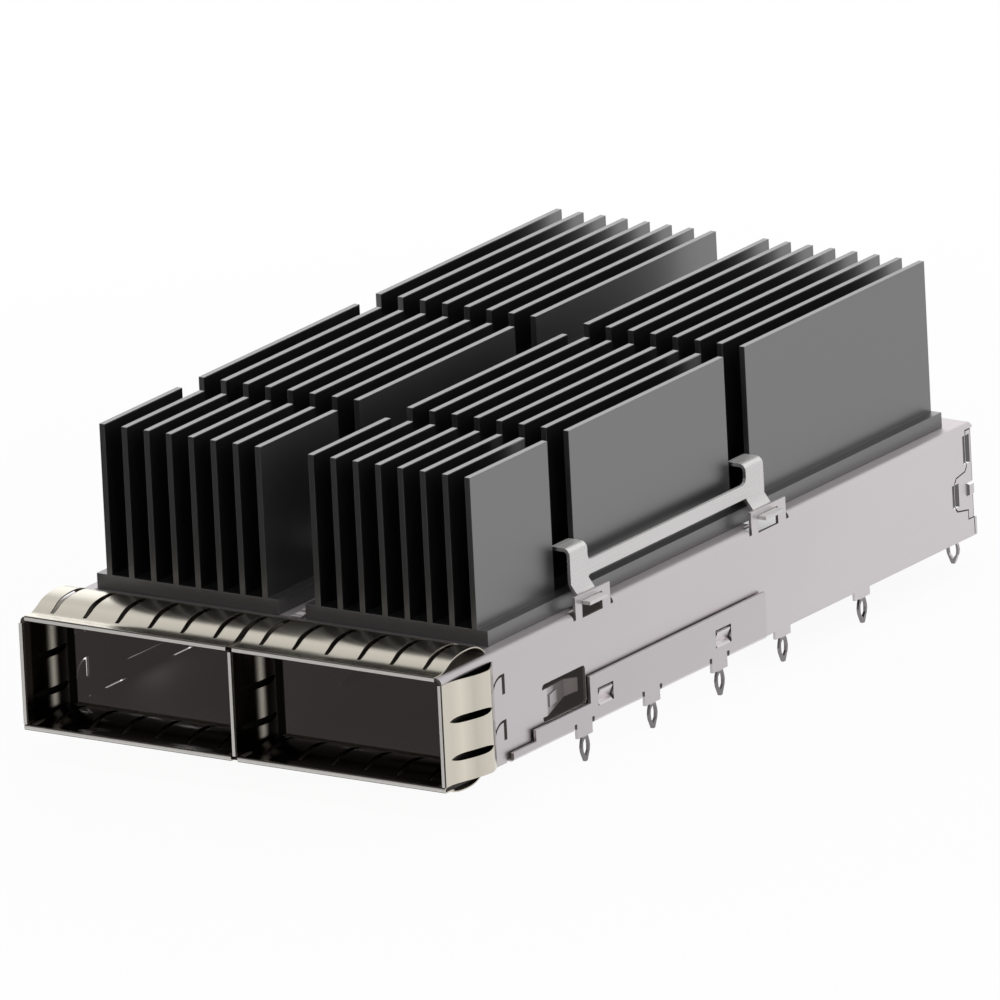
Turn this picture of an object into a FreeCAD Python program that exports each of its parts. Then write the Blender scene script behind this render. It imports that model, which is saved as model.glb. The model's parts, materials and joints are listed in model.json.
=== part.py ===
"""Press-fit cage for two pluggable modules side by side, with riding heat sinks.

The pieces are drawn in the cage's own working frame, in millimetres:
x runs across the ports from the middle wall, y runs back from the front rim,
z runs up from the underside of the floor.  Each piece is then moved so that
the pin tips stand on z = 0 and the cage is centred in x and y.
"""
import os
from math import hypot, sqrt

import FreeCAD
import Part

# Driving dimensions: sheet and fits
SHEET = 0.25            # cage sheet
STRIP = 0.10            # spring strip of the gaskets
CLIP_SHEET = 0.30       # spring sheet of the heat sink clip
BEND = 0.25             # inside radius of the cage's folds
BASE_BEND = 0.08        # inside radius of the floor's folds
FIT = 0.03              # play between sheets that lie on each other
RELIEF = 0.35           # width of the relief notches beside tabs and pins

# Driving dimensions: cage
PORT_WIDTH = 19.35      # clear width of one port
PORT_HEIGHT = 8.65      # clear height of one port
CAGE_LENGTH = 75.3      # front rim to rear face
FLOOR_LENGTH = 46.4     # the floor ends here, ahead of the connector space
FLANGE_FRONT = 9.0      # the floor's side flange starts here
FLANGE_END = 1.8        # from the flange's rear end to the floor's end
FLANGE_STEP = 3.2       # length of the flange's low front stretch
FLANGE_LOW = 0.75       # height of that stretch
FLANGE_HIGH = 3.85      # height of the flange behind the latch window
FLANGE_PLAY = 0.18      # between the flange and the wall inside it

# Driving dimensions: board pins
PIN_LENGTH = 2.05       # tip to board face
STANDOFF = 0.65         # board face to underside of the floor
PIN_NECK = 0.72
PIN_EYE = 1.16          # width over the springy eye
PIN_TIP = 0.30
EYE_WALL = 0.20         # metal on either side of the opening in the eye
EYE_HEAD = 0.08         # from the board face to the top of the opening
EYE_CREST = 0.85        # to the widest place of the eye
EYE_END = 1.68          # to the lower end of the opening
EYE_SWELL = 0.88        # share of its full width that the eye has half way from the crest
SHOULDER = 2.10         # width of the shoulder that stands on the board
SHOULDER_ROOT = 0.50    # height of the shoulder's root above the underside of the floor
FLANGE_PIN_PITCH = 9.5
FLANGE_PIN_RIGHT = 9.9  # from the flange's front end to the right-hand row's first pin
FLANGE_PIN_LEFT = 3.5   # the same in the left-hand row, which is staggered
COVER_PIN_PITCH = 11.3
COVER_PIN_RIGHT = 1.1   # from the floor's end to the right-hand wall's first pin behind it
COVER_PIN_LEFT = 6.0
COVER_PINS = 2          # such pins in each wall
DIVIDER_PIN_FRONT = 15.7
DIVIDER_PIN_PITCH = 19.5
DIVIDER_PIN_REAR = 10.0 # no pin of the divider stands nearer to the rear face
PIN_NOTCH = 0.58        # top of the relief notches beside a pin of the floor's flange
REAR_PIN_INSET = 2.3    # from the outer wall to the end pin of the rear panel
REAR_PIN_MIDDLE = 4.2   # from the middle wall to its inner pins

# Driving dimensions: latch springs that hold a module
LATCH_FRONT = 13.9
LATCH_LENGTH = 6.0
LATCH_LOW = 1.72
LATCH_HEIGHT = 3.07
LATCH_GAP = 0.10        # gap above and below the spring at its root
LATCH_GAP_RIGHT = 0.42  # the same in the right wall
LATCH_FREE = 0.32       # gap behind its tip
LATCH_SET = 0.95        # how far the spring stands into the port
LATCH_RETURN = 0.45     # how far its tip comes back towards the wall
LATCH_ROOT = 0.6        # straight run behind the window's front edge
LATCH_TIP = 1.7         # from the crest to the window's rear edge
LATCH_TAPER = 0.60      # narrowing of the spring on either edge
LATCH_FOLD = 0.6        # radius of its bends
LATCH_CORNER = 0.35     # corner radius of the window
RIB_START = 0.30        # from the spring's bend to its stiffening rib
RIB_LENGTH = 1.60
RIB_HEIGHT = 1.00
RIB_RISE = 0.12

# Driving dimensions: tongues that lock floor and cover together
LOCK_FRONT = 1.0        # from the latch window to the front tongue
LOCK_REAR = 7.1         # from the flange's rear end to the rear tongue
LOCK_WIDTH = 2.2
LOCK_LOW = 1.2
LOCK_HEIGHT = 1.45
LOCK_SET = 0.36         # how far a tongue's foot is set into the wall
LOCK_LEDGE = 0.30       # height of the ledge that leads there
LOCK_LEAN = 0.06        # how far its tip stands out of the flange's plane
LOCK_FREE = 0.20        # gap round the tongue in its window
LOCK_FOLD = 0.16

# Driving dimensions: gaskets
GASKET_BAND = 1.3       # unslotted band behind the rim
OUTER_RISE = 1.00       # crown of an outer finger above its root
OUTER_RAMP = 2.3        # length of its rising slope
OUTER_CROWN = 2.5       # length between its slopes
OUTER_TAIL = 1.05       # length of its falling end
INNER_RISE = 0.55
INNER_RAMP = 1.9
INNER_CROWN = 1.5
INNER_TAIL = 1.3
CROWN_BEND = 1.5        # radius of an outer finger's crown at its shoulders
FINGER_PITCH = 3.05
FINGER_SLOT = 0.38
SIDE_SLOT = 0.58        # width of the upright strips' slots
SIDE_SLOT_LOW = 2.40    # from the underside to the upright strips' lower slots
SIDE_SLOTS = 2
SIDE_BAND = 1.9         # unslotted band of the upright strips
GASKET_SPLIT = 0.30     # from the middle plane to the end of a port's strips
GASKET_CLEAR = 0.10     # between the inner fingers of strips that meet in a corner
BOTTOM_BARE = 1.075     # from the outer wall to the bottom strips' last outer finger
HOOK_LOW = 1.85         # lower end of the lower retaining lance in each wall
HOOK_DROP = 1.95        # from the cover's top to the upper end of the upper lance
HOOK_HEIGHT = 1.65
HOOK_BACK = 1.30        # from the outer fingers' ends to the lance's slot
HOOK_WIDTH = 0.4
HOOK_ARCH = 1.4         # radius of the slit that frees the lance's nose
HOOK_SLIT = 0.20

# Driving dimensions: heat sinks
SINK_INSET = 1.15       # from the port's walls to the edge of the sink's base
SINK_FRONT = 8.9
SINK_REAR_GAP = 2.2     # from the rear face to the sink
SINK_SEAT = 0.02        # play under the sink's base when it is down
SINK_BASE = 1.22
FIN_COUNT = 8
FIN_THICKNESS = 0.49
FIN_HEIGHT = 12.28
FIN_MARGIN = 0.97       # from the base's edge to the outer fin
FRONT_FINS = 10.8       # length of the front group of fins
MIDDLE_FINS = 21.8
CHANNEL = 3.0           # cross cuts for the clip's beams
PEDESTAL_MARGIN = 1.2   # from the base's long edge to the pedestal
PEDESTAL_FRONT = 5.5    # from the base's front edge to the pedestal
PEDESTAL_REAR = 18.7    # from the pedestal to the base's rear edge
PEDESTAL_REACH = 0.35   # how far the pedestal stands into the port
PEDESTAL_LEAD = 0.35    # height of the ramp that lets a module slide under
PEDESTAL_RAMP = 1.05    # length of that ramp
WINDOW_PLAY = 0.30      # round the pedestal in the cover's window

# Driving dimensions: clip and the cover's clip tabs
BEAM_PLAY = 0.28        # between a beam and the fins beside it
LEG_PLAY = 0.15         # between a leg and the sink's base
LEG_RISE = 3.63         # top of the beam's ends above the sink's base
BEAM_LEDGE = 1.6        # level run of the beam before it slopes down
BEAM_MIDDLE_RISE = 1.1  # height of the beam between the sinks above its feet
BEAM_FOOT = 3.0         # length of the beam's flat on a sink
BEAM_SWEEP = 1.0        # radius of the beam's wide bends
SHOULDER_FOLD = 0.45    # radius of the fold from beam to leg
HOOK_FOLD = 0.3
LEG_FOOT = 0.5          # straight foot of the leg above the hook
LEG_SLANT = 0.72        # height of the slanted run above the foot
BAR_LIFT = 0.23         # from the slanted run to the side bar
BAR_HEIGHT = 1.15
GUSSET_TOP = 0.45       # round of the corner between bar and leg, above the bar
GUSSET_LOW = 0.22       # the same below it
TAB_WIDTH = 4.85
TAB_SHIFT = 0.25        # the tabs stand this much behind the beams' middle
TAB_HEIGHT = 1.3        # above the cover
TAB_ROOT = 0.03         # depth of the relief notches below the cover's fold
TAB_HEAD = 0.45         # metal above the tab's window
TAB_SILL = 0.58         # depth of the window's lower edge below the cover's top
HOOK_REACH = 0.75       # how far a hook stands out through its window

# Driving dimensions: staking tabs of the divider
STAKE_FRONT = 0.3       # from the sinks' front edge to the first tab
STAKE_PAIR = 1.6        # from the first tab to the second
STAKE_REAR = 4.8        # from the rear face to the last tab
STAKE_WIDTH = 1.0
STAKE_PLAY = 0.325      # from a tab's end to the sink beside it
STAKE_LIFT = 0.45       # rise of the front pair's second tab, which stands a little open

# Driving dimensions: jigsaw seam between rear panel and side walls
SEAM_BACK = 1.05        # from the rear face to the seam
SEAM_GAP = 0.10         # width of the seam
SEAM_TONGUE = 1.75      # length of the tongue ahead of the seam
SEAM_TONGUE_LOW = 2.55
SEAM_TONGUE_HIGH = 5.3
SEAM_TAPER = 0.25
SEAM_TOP = 0.45         # from the cover's top to the wing's upper edge
SEAM_LOW = 1.55         # lower edge of the wing
SEAM_CURVE = 0.45       # height of the seam's bends
COIN_WIDTH = 0.95       # shallow groove coined along the seam's upright runs
COIN_DEPTH = 0.12
COIN_FLAT = 0.10        # width of the groove's bottom
COIN_MARGIN = 0.30      # from the ends of such a run to the groove
BUTTON_HEIGHT = 1.25    # raised pad on the wing
BUTTON_RISE = 0.20
BUTTON_SLOPE = 0.22     # width of the pad's sloping edges

# Places worked out from the driving dimensions
CAGE_HEIGHT = PORT_HEIGHT + 2 * SHEET
PORT_PITCH = PORT_WIDTH + SHEET
WALL_IN = SHEET / 2 + PORT_WIDTH
WALL_OUT = WALL_IN + SHEET
FLANGE_IN = WALL_OUT + FLANGE_PLAY
FLANGE_REAR = FLOOR_LENGTH - FLANGE_END
FLANGE_MIDDLE = LATCH_LOW - FIT         # the flange stays just below the latch window
LATCH_REAR = LATCH_FRONT + LATCH_LENGTH
LOCKS = (LATCH_REAR + LOCK_FRONT, FLANGE_REAR - LOCK_REAR)
HOOKS = (HOOK_LOW, CAGE_HEIGHT - HOOK_DROP - HOOK_HEIGHT)
FOLD = BEND + SHEET / 2                 # fold radius at mid thickness
BASE_FOLD = BASE_BEND + SHEET / 2
GASKET_DEPTH = GASKET_BAND + OUTER_RAMP + OUTER_CROWN + OUTER_TAIL
EDGE = STRIP + SHEET / 2                # front edge of every sheet inside a gasket's fold
SINK_WIDTH = PORT_WIDTH - 2 * SINK_INSET
SINK_REAR = CAGE_LENGTH - SINK_REAR_GAP
SINK_LOW = CAGE_HEIGHT + SINK_SEAT
SINK_TOP = SINK_LOW + SINK_BASE
CHANNELS = (SINK_FRONT + FRONT_FINS + CHANNEL / 2,
            SINK_FRONT + FRONT_FINS + CHANNEL + MIDDLE_FINS + CHANNEL / 2)
PORTS = (-PORT_PITCH / 2, PORT_PITCH / 2)
PIN_TIPS = -STANDOFF - PIN_LENGTH
STAKES = (SINK_FRONT + STAKE_FRONT, SINK_FRONT + STAKE_FRONT + STAKE_PAIR,
          CAGE_LENGTH / 2, CAGE_LENGTH - STAKE_REAR)
STAKE_LENGTH = SHEET / 2 + SINK_INSET - STAKE_PLAY
PEDESTAL = (SINK_FRONT + PEDESTAL_FRONT, SINK_REAR - PEDESTAL_REAR)
FINGER_ROOM = SHEET + STRIP + INNER_RISE + GASKET_CLEAR    # depth the inner fingers need
BEAM_WIDTH = CHANNEL - 2 * BEAM_PLAY
LEG_X = PORT_PITCH / 2 + SINK_WIDTH / 2 + LEG_PLAY + CLIP_SHEET / 2
HOOK_LEVEL = CAGE_HEIGHT + TAB_HEIGHT - TAB_HEAD - FIT - CLIP_SHEET / 2


def vec(x, y, z):
    """Return a point of the working frame."""
    return FreeCAD.Vector(x, y, z)


def block(x, y, z):
    """Return a box from its spans (low, high) in x, y and z."""
    solid = Part.makeBox(x[1] - x[0], y[1] - y[0], z[1] - z[0])
    solid.translate(vec(x[0], y[0], z[0]))
    return solid


def on_yz(x):
    """Return a drawing plane across x: (y, z) on the sheet to a point."""
    return lambda a, b: vec(x, a, b)


def on_xz(y):
    """Return a drawing plane across y: (x, z) on the sheet to a point."""
    return lambda a, b: vec(a, y, b)


def on_xy(z):
    """Return a drawing plane across z: (x, y) on the sheet to a point."""
    return lambda a, b: vec(a, b, z)


def polygon(points, plane, run):
    """Return the prism of a straight-sided outline, carried along run."""
    corners = [plane(a, b) for a, b in points]
    wire = Part.makePolygon(corners + corners[:1])
    return Part.Face(wire).extrude(run)


def directions(path):
    """Return for each corner of a path the unit directions in which it is reached and left."""
    units = []
    for (a, b), (c, d) in zip(path, path[1:]):
        run = hypot(c - a, d - b)
        units.append(((c - a) / run, (d - b) / run))
    return list(zip(units[:1] + units, units + units[-1:]))


def beside(point, direction, shift):
    """Return the point that lies shift to the left of a point, seen along a direction."""
    return (point[0] - direction[1] * shift, point[1] + direction[0] * shift)


def creased(corner, d0, d1, shift):
    """Return the one point beside a corner that is straight or a sharp crease."""
    mitre = shift / (1.0 + d0[0] * d1[0] + d0[1] * d1[1])
    return [beside(beside(corner, d0, mitre), d1, mitre)]


def folded(corner, d0, d1, radius, shift):
    """Return the first, middle and last point of the arc beside a corner folded to a radius."""
    turn = d0[0] * d1[1] - d0[1] * d1[0]
    side = 1.0 if turn > 0 else -1.0
    tangent = radius * abs(turn) / (1.0 + d0[0] * d1[0] + d0[1] * d1[1])
    start = (corner[0] - d0[0] * tangent, corner[1] - d0[1] * tangent)
    end = (corner[0] + d1[0] * tangent, corner[1] + d1[1] * tangent)
    centre = beside(start, d0, side * radius)
    out = (corner[0] - centre[0], corner[1] - centre[1])
    share = (radius - side * shift) / hypot(*out)
    middle = (centre[0] + out[0] * share, centre[1] + out[1] * share)
    return [beside(start, d0, shift), middle, beside(end, d1, shift)]


def ribbon_side(path, radii, shift, plane):
    """Return the edges of one side of a bent ribbon, shift to the left of its path."""
    edges = []
    here = None
    for corner, (d0, d1), radius in zip(path, directions(path), radii):
        if radius == 0:
            points = creased(corner, d0, d1, shift)
        else:
            points = folded(corner, d0, d1, radius, shift)
        if here is not None:
            edges.append(Part.LineSegment(plane(*here), plane(*points[0])).toShape())
        if radius > 0:
            edges.append(Part.Arc(*[plane(*point) for point in points]).toShape())
        here = points[-1]
    return edges


def ribbon(path, radii, thickness, plane, run):
    """Return a bent sheet: a ribbon of even thickness along a path, carried along run.

    radii gives the fold radius at mid thickness for each corner of the path, or 0 for a sharp crease.
    """
    half = thickness / 2
    left = ribbon_side(path, radii, half, plane)
    right = ribbon_side(path, radii, -half, plane)
    head = Part.LineSegment(left[-1].lastVertex(True).Point, right[-1].lastVertex(True).Point)
    tail = Part.LineSegment(right[0].firstVertex(True).Point, left[0].firstVertex(True).Point)
    edges = left + right + [head.toShape(), tail.toShape()]
    wire = Part.Wire(Part.__sortEdges__(edges))
    return Part.Face(wire).extrude(run)


def joined(solids):
    """Return one solid from several that overlap or share faces."""
    whole = solids[0].multiFuse(solids[1:]) if len(solids) > 1 else solids[0]
    return whole.removeSplitter()


def across(side, near, far):
    """Return the span in x between two distances from the middle plane, on one side of it."""
    return tuple(sorted((side * near, side * far)))


def wall_zone(side):
    """Return a span in x that holds a side wall and the flange outside it."""
    return across(side, WALL_IN - PORT_WIDTH / 4, WALL_OUT + PORT_WIDTH / 4)


def rounded_window(x, y, z, radius):
    """Return the cutter of a window through an upright wall, with rounded corners."""
    cutter = block(x, y, z)
    corners = [e for e in cutter.Edges if abs(e.tangentAt(e.FirstParameter).x) > 0.99]
    return cutter.makeFillet(radius, corners)


def board_pin(root):
    """Return a springy eye pin with its shoulder, in the y-z plane at x = 0, up to z = root."""
    low = -STANDOFF
    half = SHEET / 2
    plane = on_yz(-half)
    outer = PIN_EYE / 2
    inner = outer - EYE_WALL
    upper = low - (EYE_HEAD + EYE_CREST) / 2
    crest = low - EYE_CREST
    lower = low - (EYE_CREST + EYE_END) / 2
    right = [(PIN_NECK / 2, low), (EYE_SWELL * outer, upper), (outer, crest),
             (EYE_SWELL * outer, lower), (PIN_TIP / 2, PIN_TIPS)]
    eye = [(0, low - EYE_HEAD), (EYE_SWELL * inner, upper), (inner, crest),
           (EYE_SWELL * inner, lower), (0, low - EYE_END)]
    run = vec(SHEET, 0, 0)
    left = [(-a, b) for a, b in reversed(right)]
    eye_left = [(-a, b) for a, b in reversed(eye[1:-1])]
    blade = polygon(right + left, plane, run).cut(polygon(eye + eye_left, plane, run))
    shoulder = block((-half, half), (-SHOULDER / 2, SHOULDER / 2), (low, root))
    return joined([blade, shoulder])


def placed_pin(x, y, root):
    """Return a board pin in a wall that runs front to back."""
    pin = board_pin(root)
    pin.translate(vec(x, y, 0))
    return pin


def row(first, pitch, last):
    """Return evenly spaced places from first on, none of them beyond last."""
    count = int((last - first) // pitch) + 1
    return [first + i * pitch for i in range(count)]


def flange_pins(side):
    """Return the places of the pins that hang from one of the floor's flanges."""
    first = FLANGE_FRONT + (FLANGE_PIN_RIGHT if side > 0 else FLANGE_PIN_LEFT)
    return row(first, FLANGE_PIN_PITCH, FLANGE_REAR - SHOULDER / 2 - RELIEF)


def cover_pins(side):
    """Return the places of the pins that hang from one of the cover's walls."""
    first = FLOOR_LENGTH + (COVER_PIN_RIGHT if side > 0 else COVER_PIN_LEFT)
    last = CAGE_LENGTH - SEAM_BACK - SEAM_TONGUE - SHOULDER / 2 - RELIEF
    return row(first, COVER_PIN_PITCH, last)[:COVER_PINS]


def divider_pins():
    """Return the places of the pins that hang from the divider."""
    return row(DIVIDER_PIN_FRONT, DIVIDER_PIN_PITCH, CAGE_LENGTH - DIVIDER_PIN_REAR)


def latch_spring(wall, inward, low, high):
    """Return a tapered latch spring behind its window's front edge, between two heights.

    wall is the sheet's mid plane, inward the direction in x that leads into the port.
    """
    root = LATCH_FRONT - SHEET
    end = LATCH_REAR - LATCH_FREE
    path = [(wall, root), (wall, LATCH_FRONT + LATCH_ROOT),
            (wall + inward * LATCH_SET, LATCH_REAR - LATCH_TIP),
            (wall + inward * (LATCH_SET - LATCH_RETURN), end)]
    radii = [0, LATCH_FOLD, LATCH_FOLD, 0]
    strip = ribbon(path, radii, SHEET, on_xy(low), vec(0, 0, high - low))
    waist = LATCH_FRONT + LATCH_ROOT
    shape = [(root, low), (waist, low), (LATCH_REAR, low + LATCH_TAPER),
             (LATCH_REAR, high - LATCH_TAPER), (waist, high), (root, high)]
    reach = LATCH_SET + SHEET
    return strip.common(polygon(shape, on_yz(wall - reach), vec(2 * reach, 0, 0)))


def latch_rib(wall, inward):
    """Return the stiffening rib on the outer face of a latch spring's slope."""
    bend = (wall, LATCH_FRONT + LATCH_ROOT)
    crest = (wall + inward * LATCH_SET, LATCH_REAR - LATCH_TIP)
    slope = directions([bend, crest])[0][0]
    start = (bend[0] + slope[0] * RIB_START, bend[1] + slope[1] * RIB_START)
    end = (start[0] + slope[0] * RIB_LENGTH, start[1] + slope[1] * RIB_LENGTH)
    rise = inward * (SHEET / 2 + RIB_RISE)
    outline = [start, end, beside(end, slope, rise), beside(start, slope, rise)]
    low = LATCH_LOW + (LATCH_HEIGHT - RIB_HEIGHT) / 2
    return polygon(outline, on_xy(low), vec(0, 0, RIB_HEIGHT))


def hook_lance(side, low):
    """Return the cut that frees a lance in a side wall: an upright slot and a curved slit."""
    x = wall_zone(side)
    run = vec(x[1] - x[0], 0, 0)
    front = GASKET_DEPTH + HOOK_BACK
    high = low + HOOK_HEIGHT
    slot = block(x, (front, front + HOOK_WIDTH), (low, high))
    centre = vec(x[0], front, high - HOOK_ARCH)
    outer = Part.makeCylinder(HOOK_ARCH, run.x, centre, vec(1, 0, 0))
    inner = Part.makeCylinder(HOOK_ARCH - HOOK_SLIT, run.x, centre, vec(1, 0, 0))
    corner = block(x, (front - HOOK_ARCH, front), (high - HOOK_ARCH, high))
    return slot.fuse(outer.cut(inner).common(corner))


def clip_tab(side, beam):
    """Return the metal of one clip tab, and the cuts that free it and open its window."""
    y = beam + TAB_SHIFT
    half = TAB_WIDTH / 2
    root = CAGE_HEIGHT - BEND - SHEET - TAB_ROOT
    top = CAGE_HEIGHT + TAB_HEIGHT
    tab = block(across(side, WALL_IN, WALL_OUT), (y - half, y + half), (root, top))
    front = beam - BEAM_WIDTH / 2 - FIT
    rear = beam + BEAM_WIDTH / 2 + RELIEF
    sill = CAGE_HEIGHT - TAB_SILL
    window = block(wall_zone(side), (front, rear), (sill, top - TAB_HEAD))
    freed = across(side, WALL_IN - BEND - RELIEF, WALL_OUT + SHEET)
    notch = block(freed, (y - half - RELIEF, y + half + RELIEF), (root, top))
    return tab.cut(window), [notch, window]


def seam_outline(play):
    """Return the front edge of the rear panel's wing as (y, z), grown by play."""
    seam = CAGE_LENGTH - SEAM_BACK - play
    nose = seam - SEAM_TONGUE
    low = SEAM_TONGUE_LOW - play
    high = SEAM_TONGUE_HIGH + play
    return [(seam, high + SEAM_CURVE), (seam - SEAM_TAPER, high + SEAM_CURVE / 4),
            (nose + SEAM_TAPER, high - SEAM_CURVE / 4), (nose, high - SEAM_CURVE),
            (nose, low + SEAM_TAPER), (nose + SEAM_TAPER, low), (seam, low - SEAM_TAPER)]


def wing_outline(play, rear):
    """Return the closed outline of the rear panel's wing as (y, z), back to rear."""
    top = CAGE_HEIGHT - SEAM_TOP + play
    front = CAGE_LENGTH - SEAM_BACK - play
    low = SEAM_LOW - play
    return [(rear, top), (front, top)] + seam_outline(play) + [(front, low), (rear, low)]


def hipped(side, y, z, out, high, slope):
    """Return a low hipped shape on a side wall, from x = out to high, drawn in by slope on all sides."""
    near = side * out
    far = side * high
    across_y = [(near, y[0]), (near, y[1]), (far, y[1] - slope[0]), (far, y[0] + slope[0])]
    across_z = [(near, z[0]), (near, z[1]), (far, z[1] - slope[1]), (far, z[0] + slope[1])]
    lengthwise = polygon(across_y, on_xy(z[0]), vec(0, 0, z[1] - z[0]))
    return lengthwise.common(polygon(across_z, on_xz(y[0]), vec(0, y[1] - y[0], 0)))


def coined_grooves(side):
    """Return the shallow grooves coined along the upright runs of the seam in one wall."""
    seam = CAGE_LENGTH - SEAM_BACK
    runs = [(seam, SEAM_TONGUE_HIGH + SEAM_CURVE, CAGE_HEIGHT - SEAM_TOP),
            (seam - SEAM_TONGUE, SEAM_TONGUE_LOW, SEAM_TONGUE_HIGH - SEAM_CURVE / 2)]
    slope = ((COIN_WIDTH - COIN_FLAT) / 2, COIN_DEPTH)
    grooves = []
    for y, low, high in runs:
        length = (y - COIN_WIDTH / 2, y + COIN_WIDTH / 2)
        height = (low + COIN_MARGIN, high - COIN_MARGIN)
        grooves.append(hipped(side, length, height, WALL_OUT, WALL_OUT - COIN_DEPTH, slope))
    return grooves


def wall_cuts(side):
    """Return everything cut from one side wall of the cover."""
    x = wall_zone(side)
    lift = SHEET + BASE_BEND + FIT
    cuts = [block(x, (FLANGE_FRONT - RELIEF, FLANGE_REAR + RELIEF), (-SHEET, lift)),
            rounded_window(x, (LATCH_FRONT, LATCH_REAR), (LATCH_LOW, LATCH_LOW + LATCH_HEIGHT), LATCH_CORNER)]
    for y in LOCKS:
        height = (LOCK_LOW - FIT, LOCK_LOW + LOCK_HEIGHT + RELIEF)
        cuts.append(block(x, (y - RELIEF, y + LOCK_WIDTH + RELIEF), height))
    cuts += [hook_lance(side, low) for low in HOOKS]
    seam = wing_outline(SEAM_GAP, CAGE_LENGTH + SHEET)
    cuts.append(polygon(seam, on_yz(x[0]), vec(x[1] - x[0], 0, 0)))
    rear = (CAGE_LENGTH - SHEET - SEAM_GAP, CAGE_LENGTH + SHEET)
    cuts.append(block(x, rear, (-SHEET, SEAM_LOW)))
    return cuts + coined_grooves(side)


def top_cuts():
    """Return the heat sink windows and the staking slots of the cover's top."""
    height = (CAGE_HEIGHT - 2 * SHEET, CAGE_HEIGHT + SHEET)
    half = SINK_WIDTH / 2 - PEDESTAL_MARGIN + WINDOW_PLAY
    length = (PEDESTAL[0] - WINDOW_PLAY, PEDESTAL[1] + WINDOW_PLAY)
    cuts = [block((port - half, port + half), length, height) for port in PORTS]
    slot = STAKE_WIDTH / 2 + FIT
    cuts += [block((-SHEET, SHEET), (y - slot, y + slot), height) for y in STAKES]
    return cuts


def cage_cover():
    """Return the folded cover: top, side walls, pins, latch springs, clip tabs and windows."""
    wall = WALL_IN + SHEET / 2
    top = CAGE_HEIGHT - SHEET / 2
    path = [(-wall, 0), (-wall, top), (wall, top), (wall, 0)]
    length = CAGE_LENGTH - EDGE
    body = ribbon(path, [0, FOLD, FOLD, 0], SHEET, on_xz(EDGE), vec(0, length, 0))
    cuts = top_cuts()
    adds = []
    for side, gap in ((-1, LATCH_GAP), (1, LATCH_GAP_RIGHT)):
        cuts += wall_cuts(side)
        low = LATCH_LOW + gap
        high = LATCH_LOW + LATCH_HEIGHT - gap
        adds.append(latch_spring(side * wall, -side, low, high))
        adds.append(latch_rib(side * wall, -side))
        for y in CHANNELS:
            tab, freed = clip_tab(side, y)
            cuts += freed
            adds.append(tab)
        adds += [placed_pin(side * wall, y, SHOULDER_ROOT) for y in cover_pins(side)]
    return joined([body.cut(cuts)] + adds)


def flange_part(y0, y1, height):
    """Return a stretch of the floor with both flanges, from y0 to y1."""
    wall = FLANGE_IN + SHEET / 2
    path = [(-wall, height), (-wall, SHEET / 2), (wall, SHEET / 2), (wall, height)]
    return ribbon(path, [0, BASE_FOLD, BASE_FOLD, 0], SHEET, on_xz(y0), vec(0, y1 - y0, 0))


def lock_tongue(side, y):
    """Return a tongue cut free in a flange: its foot is set into the wall's hole, its tip leans back out."""
    wall = FLANGE_IN + SHEET / 2
    path = [(side * wall, LOCK_LOW - SHEET), (side * wall, LOCK_LOW),
            (side * (wall - LOCK_SET), LOCK_LOW + LOCK_LEDGE),
            (side * (wall + LOCK_LEAN), LOCK_LOW + LOCK_HEIGHT - LOCK_FREE)]
    width = vec(0, LOCK_WIDTH - 2 * LOCK_FREE, 0)
    return ribbon(path, [0, LOCK_FOLD, LOCK_FOLD, 0], SHEET, on_xz(y + LOCK_FREE), width)


def cage_base():
    """Return the folded floor: flanges outside the walls, locking tongues and pins."""
    wall = FLANGE_IN + SHEET / 2
    inside = WALL_IN - FIT
    step = FLANGE_FRONT + FLANGE_STEP
    body = joined([flange_part(FLANGE_FRONT, step, FLANGE_LOW),
                   flange_part(step, LATCH_REAR, FLANGE_MIDDLE),
                   flange_part(LATCH_REAR, FLANGE_REAR, FLANGE_HIGH),
                   block((-inside, inside), (EDGE, FLOOR_LENGTH), (0, SHEET))])
    cuts = []
    adds = []
    for side in (-1, 1):
        fold = across(side, FLANGE_IN - BASE_BEND - RELIEF, FLANGE_IN + 2 * SHEET)
        half = SHOULDER / 2 + RELIEF
        for y in flange_pins(side):
            cuts.append(block(fold, (y - half, y + half), (-SHEET, PIN_NOTCH)))
            adds.append(placed_pin(side * wall, y, FLANGE_LOW))
        for y in LOCKS:
            height = (LOCK_LOW, LOCK_LOW + LOCK_HEIGHT)
            cuts.append(block(wall_zone(side), (y, y + LOCK_WIDTH), height))
            adds.append(lock_tongue(side, y))
    for y in divider_pins():
        half = (SHOULDER + RELIEF) / 2
        cuts.append(block((-SHEET, SHEET), (y - half, y + half), (-SHEET, 2 * SHEET)))
    return joined([body.cut(cuts)] + adds)


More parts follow.
